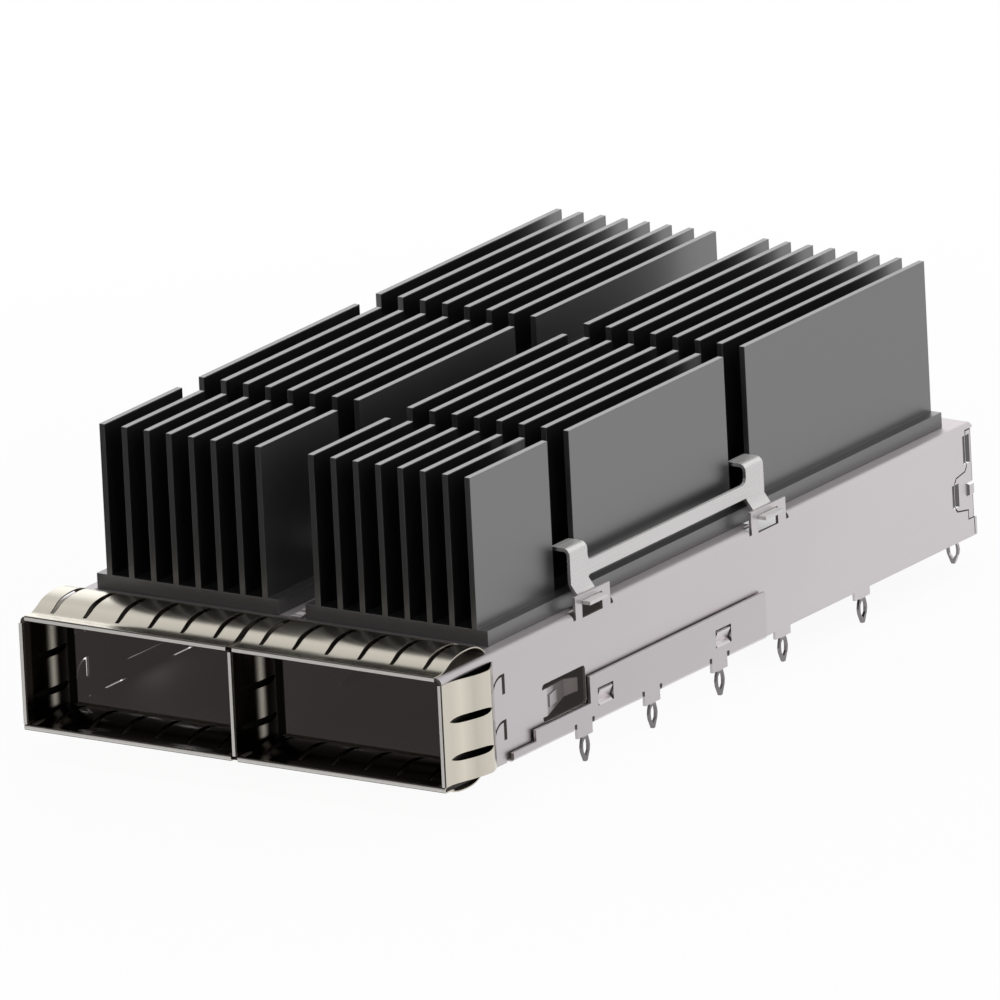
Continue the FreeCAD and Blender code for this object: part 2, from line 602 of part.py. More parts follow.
def rear_panel():
    """Return the folded rear panel with the wings that lock into the side walls."""
    wall = WALL_IN + SHEET / 2
    back = CAGE_LENGTH - SHEET / 2
    front = CAGE_LENGTH - SEAM_BACK - SEAM_TONGUE
    path = [(-wall, front), (-wall, back), (wall, back), (wall, front)]
    body = ribbon(path, [0, FOLD, FOLD, 0], SHEET, on_xy(0), vec(0, 0, CAGE_HEIGHT - SHEET))
    wing = wing_outline(0, CAGE_LENGTH + SHEET)
    trims = []
    adds = []
    for side in (-1, 1):
        x = across(side, WALL_IN - BEND - FIT, WALL_OUT + SHEET)
        corner = block(x, (front - SHEET, CAGE_LENGTH + SHEET), (-SHEET, CAGE_HEIGHT))
        trims.append(corner.cut(polygon(wing, on_yz(x[0]), vec(x[1] - x[0], 0, 0))))
        trims += coined_grooves(side)
        middle = (SEAM_TONGUE_LOW + SEAM_TONGUE_HIGH) / 2
        height = (middle - BUTTON_HEIGHT / 2, middle + BUTTON_HEIGHT / 2)
        length = (CAGE_LENGTH - SEAM_BACK - SEAM_TAPER, CAGE_LENGTH - SHEET)
        slope = (BUTTON_SLOPE, BUTTON_SLOPE)
        adds.append(hipped(side, length, height, WALL_OUT - SHEET / 2, WALL_OUT + BUTTON_RISE, slope))
        plate = (CAGE_LENGTH - SHEET, CAGE_LENGTH)
        foot = across(side, WALL_IN - BEND - RELIEF, WALL_OUT)
        adds.append(block(foot, plate, (0, SEAM_LOW - SEAM_GAP)))
        for x_pin in (WALL_OUT - REAR_PIN_INSET, REAR_PIN_MIDDLE):
            pin = board_pin(SHOULDER_ROOT)
            pin.rotate(vec(0, 0, 0), vec(0, 0, 1), 90)
            pin.translate(vec(side * x_pin, back, 0))
            adds.append(pin)
    return joined([body.cut(trims)] + adds)


def divider_stake(y, lift):
    """Return a staking tab that passes through the cover and is bent over its top."""
    level = CAGE_HEIGHT + FIT + SHEET / 2
    path = [(0, CAGE_HEIGHT - 2 * SHEET), (0, level), (STAKE_LENGTH, level + lift)]
    start = y - STAKE_WIDTH / 2
    return ribbon(path, [0, SHEET, 0], SHEET, on_xz(start), vec(0, STAKE_WIDTH, 0))


def port_divider():
    """Return the wall between the ports, with a latch spring for each of them."""
    half = SHEET / 2
    body = block((-half, half), (EDGE, CAGE_LENGTH - SHEET), (SHEET, CAGE_HEIGHT - SHEET))
    window = rounded_window((-SHEET, SHEET), (LATCH_FRONT, LATCH_REAR),
                            (LATCH_LOW, LATCH_LOW + LATCH_HEIGHT), LATCH_CORNER)
    height = (LATCH_HEIGHT - 3 * LATCH_GAP) / 2
    low = LATCH_LOW + LATCH_GAP
    high = low + height + LATCH_GAP
    adds = [latch_spring(0, -1, low, low + height), latch_spring(0, 1, high, high + height)]
    adds += [placed_pin(0, y, SHOULDER_ROOT) for y in divider_pins()]
    adds += [divider_stake(y, STAKE_LIFT if i == 1 else 0.0) for i, y in enumerate(STAKES)]
    return joined([body.cut(window)] + adds)


def finger_path(rise, ramp, crown, tail, bend, side):
    """Return the corners and radii of one leg of a gasket: flat band, then an arch."""
    leg = (SHEET + STRIP) / 2
    top = side * (leg + rise)
    root = GASKET_BAND
    corners = [(STRIP / 2, side * leg), (root, side * leg), (root + ramp, top),
               (root + ramp + crown, top), (root + ramp + crown + tail, side * leg)]
    return corners, [0, 0, bend, bend, 0]


def gasket(outer, inner, plane, run):
    """Return an unslotted gasket: fingers inside, a tight fold round the sheet, fingers outside.

    outer and inner are (rise, ramp, crown, tail, bend); the plane takes depth and outward distance.
    """
    path_out, radii_out = finger_path(*outer, 1)
    path_in, radii_in = finger_path(*inner, -1)
    return ribbon(path_in[::-1] + path_out, radii_in[::-1] + radii_out, STRIP, plane, run)


OUTER = (OUTER_RISE, OUTER_RAMP, OUTER_CROWN, OUTER_TAIL, CROWN_BEND)
INNER = (INNER_RISE, INNER_RAMP, INNER_CROWN, INNER_TAIL, 0)


def port_gasket(side, level, outward, last, bare):
    """Return the strip above or below one port, out to last; level is the sheet's mid plane.

    The outer fingers stop short of last by bare.
    """
    first = GASKET_SPLIT
    start = first if side > 0 else -last
    strip = gasket(OUTER, INNER, lambda a, b: vec(start, a, level + outward * b), vec(last - first, 0, 0))
    reach = OUTER_RISE + STRIP + SHEET
    length = (GASKET_BAND, GASKET_DEPTH + STRIP)
    count = int((last - first) // FINGER_PITCH)
    cuts = []
    for i in range(count):
        x = side * PORT_PITCH / 2 + (i - (count - 1) / 2) * FINGER_PITCH
        cuts.append(block((x - FINGER_SLOT / 2, x + FINGER_SLOT / 2), length, (level - reach, level + reach)))
    outside = sorted((level + outward * SHEET / 2, level + outward * (reach + STRIP)))
    cuts.append(block(across(side, last - bare, last + SHEET), length, outside))
    height = sorted((level - outward * SHEET / 2, level - outward * reach))
    behind = (EDGE, GASKET_DEPTH)
    cuts.append(block(across(side, 0, FINGER_ROOM - SHEET / 2), behind, height))
    cuts.append(block(across(side, WALL_OUT - FINGER_ROOM, WALL_OUT), behind, height))
    return strip.cut(cuts)


def side_slots(x):
    """Return the cuts that part the fingers of an upright gasket near x."""
    reach = OUTER_RISE + STRIP + SHEET
    length = (SIDE_BAND, GASKET_DEPTH + STRIP)
    heights = [SIDE_SLOT_LOW + i * FINGER_PITCH for i in range(SIDE_SLOTS)]
    half = SIDE_SLOT / 2
    return [block((x - reach, x + reach), length, (z - half, z + half)) for z in heights]


def wall_gasket(side):
    """Return the strip on the front edge of a side wall."""
    middle = side * (WALL_IN + SHEET / 2)
    low = SHEET + STRIP + FIT
    high = CAGE_HEIGHT - SHEET - BEND - FIT
    strip = gasket(OUTER, INNER, lambda a, b: vec(middle + side * b, a, low), vec(0, 0, high - low))
    return strip.cut(side_slots(middle))


def divider_gasket():
    """Return the strip on the front edge of the divider, with fingers for both ports."""
    low = SHEET + GASKET_CLEAR
    high = CAGE_HEIGHT - SHEET - GASKET_CLEAR
    strip = gasket(INNER, INNER, lambda a, b: vec(b, a, low), vec(0, 0, high - low))
    return strip.cut(side_slots(0))


def heat_sink(port):
    """Return an extruded sink: base, fins with two cross cuts, and a pedestal below."""
    half = SINK_WIDTH / 2
    base = block((port - half, port + half), (SINK_FRONT, SINK_REAR), (SINK_LOW, SINK_TOP))
    first = port - half + FIN_MARGIN
    pitch = (SINK_WIDTH - 2 * FIN_MARGIN - FIN_THICKNESS) / (FIN_COUNT - 1)
    fins = [block((first + i * pitch, first + i * pitch + FIN_THICKNESS),
                  (SINK_FRONT, SINK_REAR), (SINK_LOW + SINK_BASE / 2, SINK_TOP + FIN_HEIGHT))
            for i in range(FIN_COUNT)]
    foot = half - PEDESTAL_MARGIN
    low = CAGE_HEIGHT - SHEET - PEDESTAL_REACH
    front, rear = PEDESTAL
    root = SINK_LOW + SINK_BASE / 2
    outline = [(front, root), (front, low + PEDESTAL_LEAD),
               (front + PEDESTAL_RAMP, low), (rear - PEDESTAL_RAMP, low),
               (rear, low + PEDESTAL_LEAD), (rear, root)]
    pedestal = polygon(outline, on_yz(port - foot), vec(2 * foot, 0, 0))
    body = joined([base, pedestal] + fins)
    cuts = [block((port - half, port + half), (y - CHANNEL / 2, y + CHANNEL / 2),
                  (SINK_TOP, SINK_TOP + FIN_HEIGHT + SHEET)) for y in CHANNELS]
    return body.cut(cuts)


def beam_path():
    """Return the corners and radii of one clip beam with its legs, as (x, z) from right to left."""
    half = CLIP_SHEET / 2
    behind = WALL_IN - LEG_PLAY - half
    ledge = SINK_TOP + LEG_RISE - half
    foot = SINK_TOP + SINK_SEAT + half
    port = PORT_PITCH / 2
    right = [(WALL_OUT + HOOK_REACH, HOOK_LEVEL), (behind, HOOK_LEVEL),
             (behind, HOOK_LEVEL + LEG_FOOT), (LEG_X, HOOK_LEVEL + LEG_FOOT + LEG_SLANT),
             (LEG_X, ledge), (LEG_X - BEAM_LEDGE, ledge),
             (port + BEAM_FOOT / 2, foot), (port - BEAM_FOOT / 2, foot), (0, foot + BEAM_MIDDLE_RISE)]
    radii = [0, HOOK_FOLD, 0, 0, SHOULDER_FOLD, BEAM_SWEEP, BEAM_SWEEP, 0, 0]
    left = [(-x, z) for x, z in reversed(right[:-1])]
    return right + left, radii + radii[-2::-1]


def bar_gussets(x, height):
    """Return the rounds in the four corners between a side bar and its legs."""
    gussets = []
    for y, along in ((CHANNELS[0] + BEAM_WIDTH / 2, 1), (CHANNELS[1] - BEAM_WIDTH / 2, -1)):
        for z, up, size in ((height[1], 1, GUSSET_TOP), (height[0], -1, GUSSET_LOW)):
            hollow = size * (1 - sqrt(0.5))
            outline = [(y - along * size, z - up * size), (y + along * size, z - up * size),
                       (y + along * size, z), (y + along * hollow, z + up * hollow),
                       (y, z + up * size), (y - along * size, z + up * size)]
            gussets.append(polygon(outline, on_yz(x[0]), vec(x[1] - x[0], 0, 0)))
    return gussets


def heat_sink_clip():
    """Return the clip: two sprung beams with hooked legs, joined by a bar on each side."""
    path, radii = beam_path()
    beams = [ribbon(path, radii, CLIP_SHEET, on_xz(y - BEAM_WIDTH / 2), vec(0, BEAM_WIDTH, 0))
             for y in CHANNELS]
    low = HOOK_LEVEL + LEG_FOOT + LEG_SLANT + BAR_LIFT
    height = (low, low + BAR_HEIGHT)
    bars = []
    for side in (-1, 1):
        x = across(side, LEG_X - CLIP_SHEET / 2, LEG_X + CLIP_SHEET / 2)
        bars.append(block(x, CHANNELS, height))
        bars += bar_gussets(x, height)
    return joined(beams + bars)


def build():
    """Return every piece by its name, in the working frame."""
    top = CAGE_HEIGHT - SHEET / 2
    floor = SHEET / 2
    fold = WALL_OUT - SHEET - BEND - FIT
    return {
        "cage_cover": cage_cover(),
        "cage_base": cage_base(),
        "rear_panel": rear_panel(),
        "port_divider": port_divider(),
        "top_left_gasket": port_gasket(-1, top, 1, fold, 0),
        "top_right_gasket": port_gasket(1, top, 1, fold, 0),
        "bottom_left_gasket": port_gasket(-1, floor, -1, WALL_OUT, BOTTOM_BARE),
        "bottom_right_gasket": port_gasket(1, floor, -1, WALL_OUT, BOTTOM_BARE),
        "left_gasket": wall_gasket(-1),
        "right_gasket": wall_gasket(1),
        "divider_gasket": divider_gasket(),
        "left_heat_sink": heat_sink(PORTS[0]),
        "right_heat_sink": heat_sink(PORTS[1]),
        "heat_sink_clip": heat_sink_clip(),
    }


def main():
    """Write each piece to its own file, standing on its pin tips."""
    os.makedirs("parts", exist_ok=True)
    for name, shape in build().items():
        shape.translate(vec(0, -CAGE_LENGTH / 2, -PIN_TIPS))
        box = shape.BoundBox
        print(name, shape.isValid(), len(shape.Solids), round(shape.Volume, 2),
              [round(v, 2) for v in (box.XMin, box.XMax, box.YMin, box.YMax, box.ZMin, box.ZMax)])
        shape.exportStep("parts/" + name + ".step")


main()
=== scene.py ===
"""Looks of a press-fit cage for two pluggable modules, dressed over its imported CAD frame.

Sizes are in millimetres in the part's own frame: x runs across the ports from the middle wall,
y runs from the front rim to the rear face, z runs up from the pin tips.  Meshes are in metres.
"""
from __future__ import annotations

import json
import logging
import math
from dataclasses import dataclass
from enum import Enum
from typing import Any, Optional, Union

import bmesh
import bpy
import numpy as np
from mathutils import Matrix, Vector

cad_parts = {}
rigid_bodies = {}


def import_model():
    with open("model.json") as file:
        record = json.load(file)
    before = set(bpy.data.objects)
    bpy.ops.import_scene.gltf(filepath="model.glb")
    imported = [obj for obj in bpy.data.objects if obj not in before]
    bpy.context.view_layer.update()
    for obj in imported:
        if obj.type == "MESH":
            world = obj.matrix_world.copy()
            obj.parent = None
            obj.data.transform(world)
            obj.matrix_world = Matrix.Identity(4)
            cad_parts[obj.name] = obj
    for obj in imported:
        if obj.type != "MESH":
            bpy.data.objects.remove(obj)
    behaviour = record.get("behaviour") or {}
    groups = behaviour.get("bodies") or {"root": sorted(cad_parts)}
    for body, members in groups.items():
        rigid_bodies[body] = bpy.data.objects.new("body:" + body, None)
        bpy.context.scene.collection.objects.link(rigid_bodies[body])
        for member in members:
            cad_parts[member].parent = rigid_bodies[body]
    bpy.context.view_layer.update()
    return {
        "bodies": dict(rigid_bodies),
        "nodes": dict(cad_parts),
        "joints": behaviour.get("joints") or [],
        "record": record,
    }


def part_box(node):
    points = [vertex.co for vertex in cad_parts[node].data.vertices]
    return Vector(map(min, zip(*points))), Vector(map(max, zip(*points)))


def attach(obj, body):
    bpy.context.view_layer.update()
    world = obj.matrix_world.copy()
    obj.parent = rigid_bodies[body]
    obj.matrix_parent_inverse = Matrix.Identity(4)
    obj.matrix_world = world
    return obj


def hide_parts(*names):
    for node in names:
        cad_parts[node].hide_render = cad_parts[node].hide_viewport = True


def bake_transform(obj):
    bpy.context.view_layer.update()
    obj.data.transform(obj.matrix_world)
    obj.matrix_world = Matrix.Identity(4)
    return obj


LOG = logging.getLogger("cage_scene")
MM = 0.001
CREASE = math.radians(35.0)
BLACK = (0.0, 0.0, 0.0)
WHITE = (1.0, 1.0, 1.0)
Colour = tuple[float, float, float]
Triple = tuple[float, float, float]
Span = tuple[float, float]


# Shader maths: a socket that works in expressions, and the board that holds its nodes
class Wire:
    """One output socket of a shader node, usable in arithmetic."""

    def __init__(self, board: "Board", socket: bpy.types.NodeSocket) -> None:
        """Keep the board and the socket."""
        self.board = board
        self.socket = socket

    def maths(self, operation: str, *values: "Value") -> "Wire":
        """Return the result of a Math node on self and some more values."""
        return self.board.node("ShaderNodeMath", {"operation": operation}, dict(enumerate((self, *values))))

    def other(self, name: str) -> "Wire":
        """Return another output of the same node."""
        return Wire(self.board, self.socket.node.outputs[name])

    def __add__(self, value: "Value") -> "Wire":
        """Return self + value."""
        return self.maths("ADD", value)

    def __radd__(self, value: "Value") -> "Wire":
        """Return value + self."""
        return self.maths("ADD", value)

    def __sub__(self, value: "Value") -> "Wire":
        """Return self - value."""
        return self.maths("SUBTRACT", value)

    def __rsub__(self, value: "Value") -> "Wire":
        """Return value - self."""
        return self.maths("MULTIPLY_ADD", -1.0, value)

    def __mul__(self, value: "Value") -> "Wire":
        """Return self * value."""
        return self.maths("MULTIPLY", value)

    def __rmul__(self, value: "Value") -> "Wire":
        """Return value * self."""
        return self.maths("MULTIPLY", value)

    def __abs__(self) -> "Wire":
        """Return the size of self without its sign."""
        return self.maths("ABSOLUTE")

    def __or__(self, value: "Value") -> "Wire":
        """Return the larger of self and value."""
        return self.maths("MAXIMUM", value)

    def step(self, low: float, high: float) -> "Wire":
        """Return a smooth step that is 0 below low and 1 above high.

        Args:
            low: where the step starts.
            high: where it ends.

        Returns:
            The step as a wire.
        """
        inputs = {"Value": self, "From Min": low, "From Max": high}
        return self.board.node("ShaderNodeMapRange", {"interpolation_type": "SMOOTHSTEP"}, inputs)

    def fall(self, low: float, high: float) -> "Wire":
        """Return a smooth step that is 1 below low and 0 above high."""
        return 1.0 - self.step(low, high)

    def factor(self, full: float) -> "Wire":
        """Return a factor that is 1 where self is 0 and full where self is 1."""
        return 1.0 + (full - 1.0) * self


Value = Union[Wire, float, int, tuple]


class Board:
    """The node tree of one material or world; the numbers are the colour sockets of a Mix node."""

    FIRST_COLOUR = 6
    SECOND_COLOUR = 7
    MIXED_COLOUR = 2

    def __init__(self, tree: bpy.types.NodeTree) -> None:
        """Empty the tree and keep it."""
        tree.nodes.clear()
        self.tree = tree

    def node(self, kind: str, settings: Optional[dict[str, Any]] = None,
             inputs: Optional[dict[Union[str, int], Value]] = None, output: Union[str, int] = 0) -> Wire:
        """Add a node, set it up, and feed its sockets.

        Args:
            kind: the node's type.
            settings: its properties; "stops" gives a colour ramp's (place, colour) pairs.
            inputs: values or wires by socket name or number.
            output: the output to hand back.

        Returns:
            That output as a wire, or a wire without a socket if the node has no outputs.
        """
        made = self.tree.nodes.new(kind)
        for name, value in (settings or {}).items():
            if name == "stops":
                self.set_stops(made.color_ramp, value)
            else:
                setattr(made, name, value)
        for key, value in (inputs or {}).items():
            if isinstance(value, Wire):
                self.tree.links.new(value.socket, made.inputs[key])
            else:
                made.inputs[key].default_value = value
        return Wire(self, made.outputs[output] if len(made.outputs) else None)

    @staticmethod
    def set_stops(ramp: bpy.types.ColorRamp, stops: list[tuple[float, Colour]]) -> None:
        """Give a ramp its stops.

        Args:
            ramp: the ramp of a new node, which has two stops.
            stops: (place, colour) pairs.
        """
        while len(ramp.elements) < len(stops):
            ramp.elements.new(1.0)
        for element, (place, colour) in zip(ramp.elements, stops):
            element.position = place
            element.color = (*colour, 1.0)

    def place(self) -> Wire:
        """Return the place on the object in millimetres."""
        return self.scaled(self.node("ShaderNodeTexCoord", output="Object"), 1.0 / MM)

    def normal(self, kind: str = "Normal") -> Wire:
        """Return the shaded normal, or the flat face's own if the kind is True Normal."""
        return self.node("ShaderNodeNewGeometry", output=kind)

    def scaled(self, vector: Value, factor: Value) -> Wire:
        """Return a vector or colour times a factor."""
        return self.node("ShaderNodeVectorMath", {"operation": "SCALE"}, {0: vector, "Scale": factor})

    def axes(self, vector: Wire) -> tuple[Wire, Wire, Wire]:
        """Return the x, y and z of a vector."""
        x = self.node("ShaderNodeSeparateXYZ", inputs={0: vector})
        return x, x.other("Y"), x.other("Z")

    def noise(self, vector: Wire, stretch: Triple, detail: float = 3.0) -> Wire:
        """Return a noise between 0 and 1.

        Args:
            vector: where the noise is read.
            stretch: features per millimetre along x, y and z.
            detail: how many finer layers lie on it.

        Returns:
            The noise as a wire.
        """
        scaled = self.node("ShaderNodeVectorMath", {"operation": "MULTIPLY"}, {0: vector, 1: stretch})
        return self.node("ShaderNodeTexNoise", inputs={"Vector": scaled, "Scale": 1.0, "Detail": detail})

    def bump(self, strength: float, rise: float, height: Wire, normal: Wire) -> Wire:
        """Return a normal with a fine relief on it.

        Args:
            strength: how much of the relief shows, from 0 to 1.
            rise: millimetres from its lowest to its highest places.
            height: the relief, from 0 to 1.
            normal: the normal without it.

        Returns:
            The new normal as a wire.
        """
        inputs = {"Strength": strength, "Distance": rise * MM, "Height": height, "Normal": normal}
        return self.node("ShaderNodeBump", inputs=inputs)

    def blend(self, share: Value, first: Value, second: Value) -> Wire:
        """Return a colour between two, by share.

        Args:
            share: 0 for the first, 1 for the second.
            first: a colour or wire.
            second: a colour or wire.

        Returns:
            The colour as a wire.
        """
        colours = [c if isinstance(c, Wire) else (*c, 1.0) for c in (first, second)]
        inputs = {0: share, self.FIRST_COLOUR: colours[0], self.SECOND_COLOUR: colours[1]}
        return self.node("ShaderNodeMix", {"data_type": "RGBA"}, inputs, self.MIXED_COLOUR)


# Finishes
@dataclass(frozen=True)
class SheetRooms:
    """The rooms where cage sheet sees only other sheet, inside the ports and under the finger strips: masks
    for the painted shade there.
    """

    half_width: float = 19.60
    lean: float = 0.35
    flange: float = 19.90
    gap: float = 3.35
    floor: float = 2.825
    roof: float = 11.725
    rear: float = 37.52
    strip_end: float = -30.55
    strip_top: float = 11.30
    strip_side: float = 19.15
    sharpness: float = 0.05
    outward: Span = (0.2, 0.4)

    def inside(self, board: Board, place: Wire, normal: Wire) -> Wire:
        """Return 1 on faces inside the ports and 0 outside.

        Args:
            board: the material's board.
            place: the place on the object in millimetres.
            normal: the face's own normal.

        Returns:
            The product of smooth steps for walls, floor, roof and rear, which places the painted shade inside
            the ports;
            a wall face counts as inside unless it looks outwards or belongs to a flange above the gap at the
            floor, and a spring that leans inwards takes the painted shade by degrees.
        """
        x, y, z = board.axes(place)
        cut = self.sharpness
        look = board.axes(normal)[0] * x
        turned = look.fall(*(share * self.half_width for share in self.outward))
        sheltered = abs(x).fall(self.flange - cut, self.flange) | z.fall(self.gap, self.gap + cut)
        across = abs(x).fall(self.half_width - self.lean, self.half_width) | (turned * sheltered)
        above = z.step(self.floor - cut, self.floor + cut)
        below = z.fall(self.roof - cut, self.roof + cut)
        ahead = y.fall(self.rear - cut, self.rear + cut)
        return across * above * below * ahead

    def covered(self, board: Board, place: Wire) -> Wire:
        """Return 1 on sheet that lies under the finger strips and 0 elsewhere.

        Args:
            board: the material's board.
            place: the place on the object in millimetres.

        Returns:
            A step along y, kept to the strips' height and width, that places the painted shade under the
            strips, so that the cover's bare corners stay light.
        """
        x, y, z = board.axes(place)
        cut = self.sharpness
        under = y.fall(self.strip_end - cut, self.strip_end + cut)
        beside = z.fall(self.strip_top - cut, self.strip_top + cut)
        between = abs(x).fall(self.strip_side - cut, self.strip_side + cut)
        return under * (beside | between)


@dataclass(frozen=True)
class Finish:
    """What all finishes share: a name and a base colour."""

    name: str
    colour: Colour

    def material(self) -> bpy.types.Material:
        """Return the material, made on the first call."""
        made = bpy.data.materials.get(self.name)
        return made if made else self.make()

    def make(self) -> bpy.types.Material:
        """Make the material from the finish's own surface.

        Returns:
            The new material.
        """
        made = bpy.data.materials.new(self.name)
        made.use_nodes = True
        board = Board(made.node_tree)
        board.node("ShaderNodeOutputMaterial", inputs={"Surface": self.surface(board)})
        return made

    def surface(self, board: Board) -> Wire:
        """Return the shader; each finish has its own."""
        raise NotImplementedError


@dataclass(frozen=True)
class MetalFinish(Finish):
    """A metal whose edges are softened by a small radius."""

    roughness: float
    metallic: float = 1.0
    edge: float = 0.06
    edge_samples: int = 4
    edge_turn: Span = (0.02, 0.25)

    def soft_normal(self, board: Board) -> Wire:
        """Return the normal with edges rounded to the finish's edge radius."""
        return board.node("ShaderNodeBevel", {"samples": self.edge_samples}, {"Radius": self.edge * MM})

    def edge_mask(self, board: Board, normal: Wire) -> Wire:
        """Return 1 on edges and 0 on flats.

        Args:
            board: the material's board.
            normal: the rounded normal.

        Returns:
            A step on how far the rounded normal leaves the face's own.
        """
        faces = {0: normal, 1: board.normal()}
        along = board.node("ShaderNodeVectorMath", {"operation": "DOT_PRODUCT"}, faces, "Value")
        return (1.0 - along).step(*self.edge_turn)


@dataclass(frozen=True)
class SheetFinish(MetalFinish):
    """Rolled sheet metal: fine rolling grain along y, faint clouds and a painted highlight on the edges."""

    base_tone: float = 0.98
    # painted highlight: the colour the edges are blended towards, and how far
    bright: Colour = (0.80, 0.78, 0.78)
    highlight_share: float = 0.35
    edge_polish: float = 0.05
    grain: Triple = (7.0, 0.12, 7.0)
    grain_tone: float = 0.05
    grain_depth: float = 0.10
    grain_height: float = 0.004
    clouds: Triple = (0.05, 0.05, 0.09)
    cloud_detail: float = 2.0
    cloud_share: float = 0.6
    unevenness: float = 0.08

    def surface(self, board: Board) -> Wire:
        """Return the sheet's shader.

        Args:
            board: the material's board.

        Returns:
            A metal whose colour and roughness follow grain, clouds and edges, with a painted highlight on the
            edges.
        """
        place = board.place()
        grain = board.noise(place, self.grain)
        cloud = board.noise(place, self.clouds, self.cloud_detail)
        normal = self.soft_normal(board)
        edge = self.edge_mask(board, normal)
        even = self.base_tone - self.grain_tone / 2
        tone = even + self.unevenness * (cloud - 0.5) + self.grain_tone * grain
        # painted highlight on the edges
        highlighted = board.blend(edge * self.highlight_share, board.scaled(self.colour, tone), self.bright)
        bump = board.bump(self.grain_depth, self.grain_height, grain, normal)
        uneven = self.unevenness * (grain + self.cloud_share * cloud)
        rough = self.roughness + uneven - self.edge_polish * edge
        inputs = {"Base Color": highlighted, "Metallic": self.metallic, "Roughness": rough, "Normal": bump}
        return board.node("ShaderNodeBsdfPrincipled", inputs=self.shaded(board, place, inputs))

    def shaded(self, board: Board, place: Wire, inputs: dict[str, Value]) -> dict[str, Value]:
        """Return the shader's inputs as they are; a sheet with places of its own changes them there."""
        return inputs


@dataclass(frozen=True)
class CageFinish(SheetFinish):
    """The cage's sheet, with painted shade inside the ports, under the strips, on the grooves near the rear
    seam and on its pins.
    """

    # painted shade inside the ports, rougher there
    inside: Colour = (0.15, 0.135, 0.13)
    inside_roughness: float = 0.65
    glow: Colour = (0.025, 0.0220, 0.0210)
    # painted shade under the strips, lighter where the roof looks up
    under: Colour = (0.03, 0.027, 0.025)
    under_fingers_shade: Colour = (0.20, 0.18, 0.15)
    # painted shadow on the cover's top in front of the sinks
    sink_front_shadow: float = 0.40
    shelter_side: float = 18.3
    shelter_rear: float = -28.75
    # painted reflection: the sheet gets lighter from the front end to the rear end, by this share
    lift: float = 0.16
    ends: Span = (-37.0, 37.0)
    # painted shade on the groove slopes near the rear seam, and a painted glint at the grooves' ends
    groove_shade: float = 0.20
    groove_end_glint: float = 1.9
    coined_from: float = 30.0
    coined_run: float = 1.0
    coined_look: Span = (0.12, 0.24)
    # painted highlight on bends below the roof's folds
    bend_highlight: float = 1.30
    bent_below: float = 11.0
    bent_look: Span = (0.12, 0.30)
    # painted shade: the flanges a shade darker
    flange: float = 0.92
    flange_side: float = 19.95
    # painted shade on the pins below their root
    pins: float = 0.38
    pin_root: float = 2.0
    top_look: Span = (0.8, 0.95)
    top_roughness: float = 0.22
    # painted highlight on the stake tabs between the sinks, which are also less metallic
    stake_highlight: float = 1.6
    stake_side: float = 1.2
    stake_low: float = 12.0
    stake_matt: float = 0.7
    blur: float = 0.1
    rooms: SheetRooms = SheetRooms()

    def staked(self, board: Board, place: Wire) -> Wire:
        """Return 1 on the tabs that stand up between the sinks and 0 elsewhere."""
        x, _, z = board.axes(place)
        return (abs(x).fall(self.stake_side, self.stake_side + self.blur)
                * z.step(self.stake_low, self.stake_low + self.blur))

    def painted_tone(self, board: Board, place: Wire, normal: Wire) -> Wire:
        """Return the tone of the outside, which is painted light and shade.

        Args:
            board: the material's board.
            place: the place on the object in millimetres.
            normal: the face's own normal.

        Returns:
            A factor of painted shade and highlight: less on the groove slopes near the rear seam, flanges,
                pins and the
            cover's top in front of the sinks, and more on the grooves' ends, on bends, staking tabs and to
            the rear; near the rear seam a face counts as a groove slope where it looks along both x and y,
            and below the roof's folds it counts as a bend where it looks along both x and z.
        """
        x, y, z = board.axes(place)
        across, along, up = board.axes(normal)
        blur = self.blur
        behind = y.step(self.coined_from, self.coined_from + self.coined_run)
        below = z.fall(self.bent_below, self.bent_below + 2 * blur)
        bend = abs(across * up)
        beneath = abs(x).fall(self.shelter_side, self.shelter_side + 2 * blur)
        forward = y.fall(self.shelter_rear, self.shelter_rear + 2 * blur)
        shares = ((self.groove_shade, behind * abs(across * along).step(*self.coined_look)),
                  (self.groove_end_glint, behind * below * bend.step(*self.coined_look)),
                  (self.bend_highlight, below * bend.step(*self.bent_look)),
                  (self.flange, abs(x).step(self.flange_side - blur / 2, self.flange_side + blur / 2)),
                  (self.pins, z.fall(self.pin_root - blur, self.pin_root + blur)),
                  (self.stake_highlight, self.staked(board, place)),
                  (self.sink_front_shadow, beneath * forward * up.step(*self.top_look)))
        # painted reflection: lighter towards the rear
        tone = 1.0 + self.lift * y.step(*self.ends)
        for full, share in shares:
            tone = tone * share.factor(full)
        return tone

    def shaded(self, board: Board, place: Wire, inputs: dict[str, Value]) -> dict[str, Value]:
        """Return the shader's inputs with the sheet's painted shade and painted highlights.

        Args:
            board: the material's board.
            place: the place on the object in millimetres.
            inputs: what they are on plain sheet.

        Returns:
            The inputs; a faint glow inside stands for light that has bounced many times between the walls.
        """
        normal = board.normal("True Normal")
        top = board.axes(normal)[2].step(*self.top_look)
        outside = board.scaled(inputs["Base Color"], self.painted_tone(board, place, normal))
        inside = self.rooms.inside(board, place, normal)
        covered = self.rooms.covered(board, place)
        # painted shade under the strips and inside the ports
        under = board.blend(top, self.under, self.under_fingers_shade)
        colour = board.blend(covered, board.blend(inside, outside, self.inside), under)
        rough = inputs["Roughness"] + self.top_roughness * top
        glow = board.blend(inside * (1.0 - covered), BLACK, self.glow)
        return inputs | {"Base Color": colour, "Roughness": rough + inside * (self.inside_roughness - rough),
                         "Metallic": self.metallic - self.stake_matt * self.staked(board, place),
                         "Emission Color": glow, "Emission Strength": 1.0}


